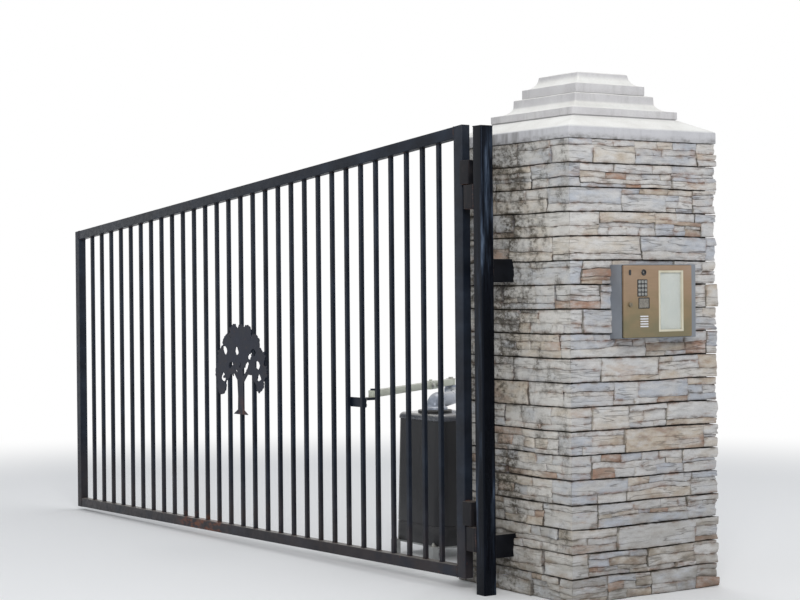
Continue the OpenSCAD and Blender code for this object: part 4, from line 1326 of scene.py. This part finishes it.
def build_operator():
    """Moulded housing with its seam, glossy lid with round shoulders and the hub plate."""
    tall = foot_of("operator_housing")[0].z
    steps = [*in_mm(HOUSING_STEPS), (tall, 0)]
    shell = [(z, inset - HOUSING_FLARE * (1 - z / tall)) for z, inset in steps]
    moulded("operator_shell", "operator_housing", shell, HOUSING_CORNER, 1.0)
    rise = foot_of("operator_lid")[0].z - LID_LIP
    cover = in_mm(LID_STEPS) + [
        (LID_LIP + rise * math.sin(angle), LID_SHOULDER * (1 - math.cos(angle)))
        for angle in quarter_turn(8, 1)
    ]
    moulded("operator_cover", "operator_lid", cover, LID_CORNER, 0.9, "operator_lid")

    size, place = foot_of("operator_hub")
    radius = size.x / 2 + HUB_MARGIN
    hub = [(radius - 1.5 * MM, 0), (radius, 1.5 * MM), *stepped(radius, size.z, HUB_STEPS)]
    hub.append((MM, size.z))
    turned_piece("operator_hub_plate", "operator_dark", hub, place, 64, ["operator_hub"], sharp=40)

    low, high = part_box("operator_feet")
    bm = bmesh.new()
    for x in (low.x + FOOT_BOLT, high.x - FOOT_BOLT):
        for y in (low.y + FOOT_BOLT, high.y - FOOT_BOLT):
            hexagon(bm, at(x, y, high.z), *FOOT_NUT)
            lathe(bm, in_mm(STUD), at(x, y, high.z), 20)
    finish_piece("operator_foot_nuts", bm, "operator_steel", material="zinc_bolt")


# Operator's arms

CRANK_BOW, CRANK_AXIS, CRANK_TAPER, CRANK_START = 60 * MM, 44 * MM, 260 * MM, 6 * MM
CRANK_ROOT, CRANK_TUBE, ELBOW_BOSS, CRANK_STEPS = 44 * MM, 33 * MM, 36 * MM, 28
COLLAR = (60, 0), (62, 2), (62, 10), (60.5, 12), (56, 14), (51, 18), (47.5, 25), (1, 26)
BOSS_STEPS = (0, 18), (0.5, 16), (2.5, 15), (2.5, 3), (4, 0.8), (6, 0)
PIN_RADIUS, PIN_SHANK, PIN_HEAD = 8 * MM, 33 * MM, (24 * MM, 8 * MM, 2 * MM)
CLAMP_FACE, CLAMP_REACH, CLAMP_DROP = 25 * MM, 35 * MM, 4 * MM
CLAMP_BOLT = 13 * MM, 7 * MM, 1.5 * MM


def crank_line(span):
    """Places and radii of the crank's tube, from its upright root along a level arc.

    Its axes have Y from the shaft to the elbow and X to the side it bows to.
    """
    bend = (span**2 / 4 + CRANK_BOW**2) / (2 * CRANK_BOW)
    half = math.asin(span / 2 / bend)
    rise = CRANK_AXIS - CRANK_START
    runs = [
        (rise * (1 - math.cos(angle)), CRANK_START + rise * math.sin(angle))
        for angle in quarter_turn(12)
    ]
    level = 2 * half * bend - rise
    for step in range(1, CRANK_STEPS + 1):
        runs.append((rise + level * step / CRANK_STEPS, CRANK_AXIS))
    path, radii = [], []
    for run, height in runs:
        angle = run / bend - half
        aside = bend * math.cos(angle) + CRANK_BOW - bend
        path.append(Vector((aside, span / 2 + bend * math.sin(angle), height)))
        slim = min(1.0, run / CRANK_TAPER)
        radii.append(CRANK_ROOT + (CRANK_TUBE - CRANK_ROOT) * slim * (2 - slim))
    return path, radii


def build_crank():
    """Cast arm that rises from its collar, bends over and ends in the elbow's round boss."""
    shaft, elbow = joints["crank_shaft"], middle("elbow_pin")
    low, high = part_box("crank_arm")
    span = (elbow - shaft).xy.to_3d()
    turn = turned_place((shaft.x, shaft.y, low.z), span)
    path, radii = crank_line(span.length)
    bm = bmesh.new()
    sweep(bm, [turn @ point for point in path], radii, 40)
    lathe(bm, in_mm(COLLAR), at(shaft.x, shaft.y, low.z), 64)
    tall = high.z - low.z
    bowl = CRANK_AXIS - 4 * MM
    boss = [
        (ELBOW_BOSS * math.sin(angle), CRANK_AXIS - bowl * math.cos(angle))
        for angle in quarter_turn(12, 1)[:-1]
    ]
    boss += [*stepped(ELBOW_BOSS, tall, BOSS_STEPS), (MM, tall)]
    lathe(bm, boss, at(elbow.x, elbow.y, low.z), 56)
    finish_piece("crank_casting", bm, "crank_grey", "crank", ["crank_arm"], 40)


def build_arm_bolts():
    """The elbow's pin as a bolt and the four bolts that clamp the adjuster's sleeve."""
    low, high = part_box("elbow_pin")
    elbow = middle("elbow_pin")
    bm = bmesh.new()
    lathe(bm, [(PIN_RADIUS, 0), (PIN_RADIUS, PIN_SHANK)], at(elbow.x, elbow.y, low.z))
    hexagon(bm, at(elbow.x, elbow.y, high.z - PIN_HEAD[1]), *PIN_HEAD)
    finish_piece("elbow_bolt", bm, "zinc_bolt", "connecting_arm", ["elbow_pin"], 30)
    along = (elbow - joints["arm_pivot"]).xy.to_3d().normalized()
    across = Vector((along.y, -along.x, 0))
    centre = middle("arm_adjuster") - Vector((0, 0, CLAMP_DROP))
    bm = bmesh.new()
    for side in (across * -1, across):
        for step in (-CLAMP_REACH, CLAMP_REACH):
            spot = centre + side * CLAMP_FACE + along * step
            hexagon(bm, looking(spot, side), *CLAMP_BOLT)
    finish_piece("clamp_bolts", bm, "zinc_bolt", "connecting_arm")


# Stage

FLOOR_HALF = 60.0
FLOOR_GREY = (0.90, 0.90, 0.90, 1)
FLOOR_CENTRE = (0.0, 1.9, 0.0)
FLOOR_FADE = (3.5, 7.0)
SKY_COLOUR, SKY_LIGHT = (0.93, 0.96, 1.0, 1), 0.58
WHITE_LIGHT = {"Color": (1, 1, 1, 1), "Strength": 1.0}
# Name, place, aim, width and power of each lamp.
LAMPS = (
    ("sky_lamp", (1.5, 3.0, 8.0), (-0.2, 1.0, 0.8), 4.0, 120),
    ("street_lamp", (-4.4, -6.0, 5.0), (0.0, 0.3, 1.0), 3.2, 330),
)
PHOTO_WIDTH, FOCAL_PIXELS = 800, 1815
CAMERA_PLACE = (-5.105, -6.265, 1.33)
CAMERA_AZIMUTH = math.atan2(0.550, 0.835)
CAMERA_DIP, CAMERA_ROLL = math.radians(0.4925), math.radians(0.5077)


def build_floor():
    """Pale floor that keeps the gate's shadow and turns to plain white further out."""
    mesh = bpy.data.meshes.new("floor")
    corners = [(x * FLOOR_HALF, y * FLOOR_HALF, 0) for x, y in ((-1, -1), (1, -1), (1, 1), (-1, 1))]
    mesh.from_pydata(corners, [], [(0, 1, 2, 3)])
    floor = in_scene("floor", mesh)
    s = Surface("floor", Roughness=0.9, Specular_IOR_Level=0.1, Base_Color=FLOOR_GREY)
    flat = s.node("VectorMath", {0: s.place, 1: FLOOR_CENTRE}, operation="SUBTRACT")["Vector"]
    distance = s.node("VectorMath", {0: flat}, operation="LENGTH")["Value"]
    white = s.node("Emission", WHITE_LIGHT)["Emission"]
    share = s.times(s.between(distance, *FLOOR_FADE), s.seen_plainly())
    mixed = s.node("MixShader", {0: share, 1: s.shader.outputs[0], 2: white})[0]
    s.plug(s.tree.nodes["Material Output"].inputs["Surface"], mixed)
    mesh.materials.append(s.material)


def build_world():
    """White surroundings for the camera and for gloss, a soft cool sky for the rest."""
    world = bpy.data.worlds.new("studio")
    bpy.context.scene.world = world
    world.use_nodes = True
    graph = Graph(world.node_tree)
    sky = graph.node("Background", {"Color": SKY_COLOUR, "Strength": SKY_LIGHT})[0]
    white = graph.node("Background", WHITE_LIGHT)[0]
    choice = graph.node("MixShader", {0: graph.seen_plainly(), 1: sky, 2: white})[0]
    graph.plug(graph.tree.nodes["World Output"].inputs["Surface"], choice)


def build_lamps():
    for name, place, aim, size, power in LAMPS:
        lamp = bpy.data.lights.new(name, "AREA")
        lamp.shape, lamp.size, lamp.energy = "DISK", size, power
        made = in_scene(name, lamp)
        made.location = place
        made.rotation_mode = "QUATERNION"
        made.rotation_quaternion = (Vector(aim) - Vector(place)).to_track_quat("-Z", "Y")


def build_camera():
    """Camera at the photograph's place, from the pier's and the leaf's vanishing points."""
    data = bpy.data.cameras.new("camera")
    data.sensor_width = 36.0
    data.lens = FOCAL_PIXELS * data.sensor_width / PHOTO_WIDTH
    data.clip_start, data.clip_end = 0.1, 200.0
    forward = Vector((math.sin(CAMERA_AZIMUTH), math.cos(CAMERA_AZIMUTH), -math.tan(CAMERA_DIP)))
    forward.normalize()
    right = forward.cross(Vector((0, 0, 1))).normalized()
    axes = Matrix((right, right.cross(forward), -forward)).transposed().to_4x4()
    camera = in_scene("camera", data)
    camera.matrix_world = at(*CAMERA_PLACE) @ axes @ Matrix.Rotation(-CAMERA_ROLL, 4, "Z")
    bpy.context.scene.camera = camera


# Assembly

for node, cad in frame["nodes"].items():
    cad.data.materials.clear()
    cad.data.materials.append(materials[slot_of[node]])
Ledgestone(seed=7).build()
build_cap()
for width, nodes in BEVELS.items():
    for node in nodes:
        refined(node, width * MM)
build_leaf_welds()
build_hinges()
build_bracket_bolts()
build_tree()
refined("entry_lock", 0.6 * MM, "entry_lock")
build_entry_window()
build_entry_display()
build_entry_camera()
build_entry_speaker()
build_keys()
build_operator()
build_crank()
build_arm_bolts()
bpy.context.scene.view_settings.view_transform = "Standard"
build_floor()
build_world()
build_lamps()
build_camera()
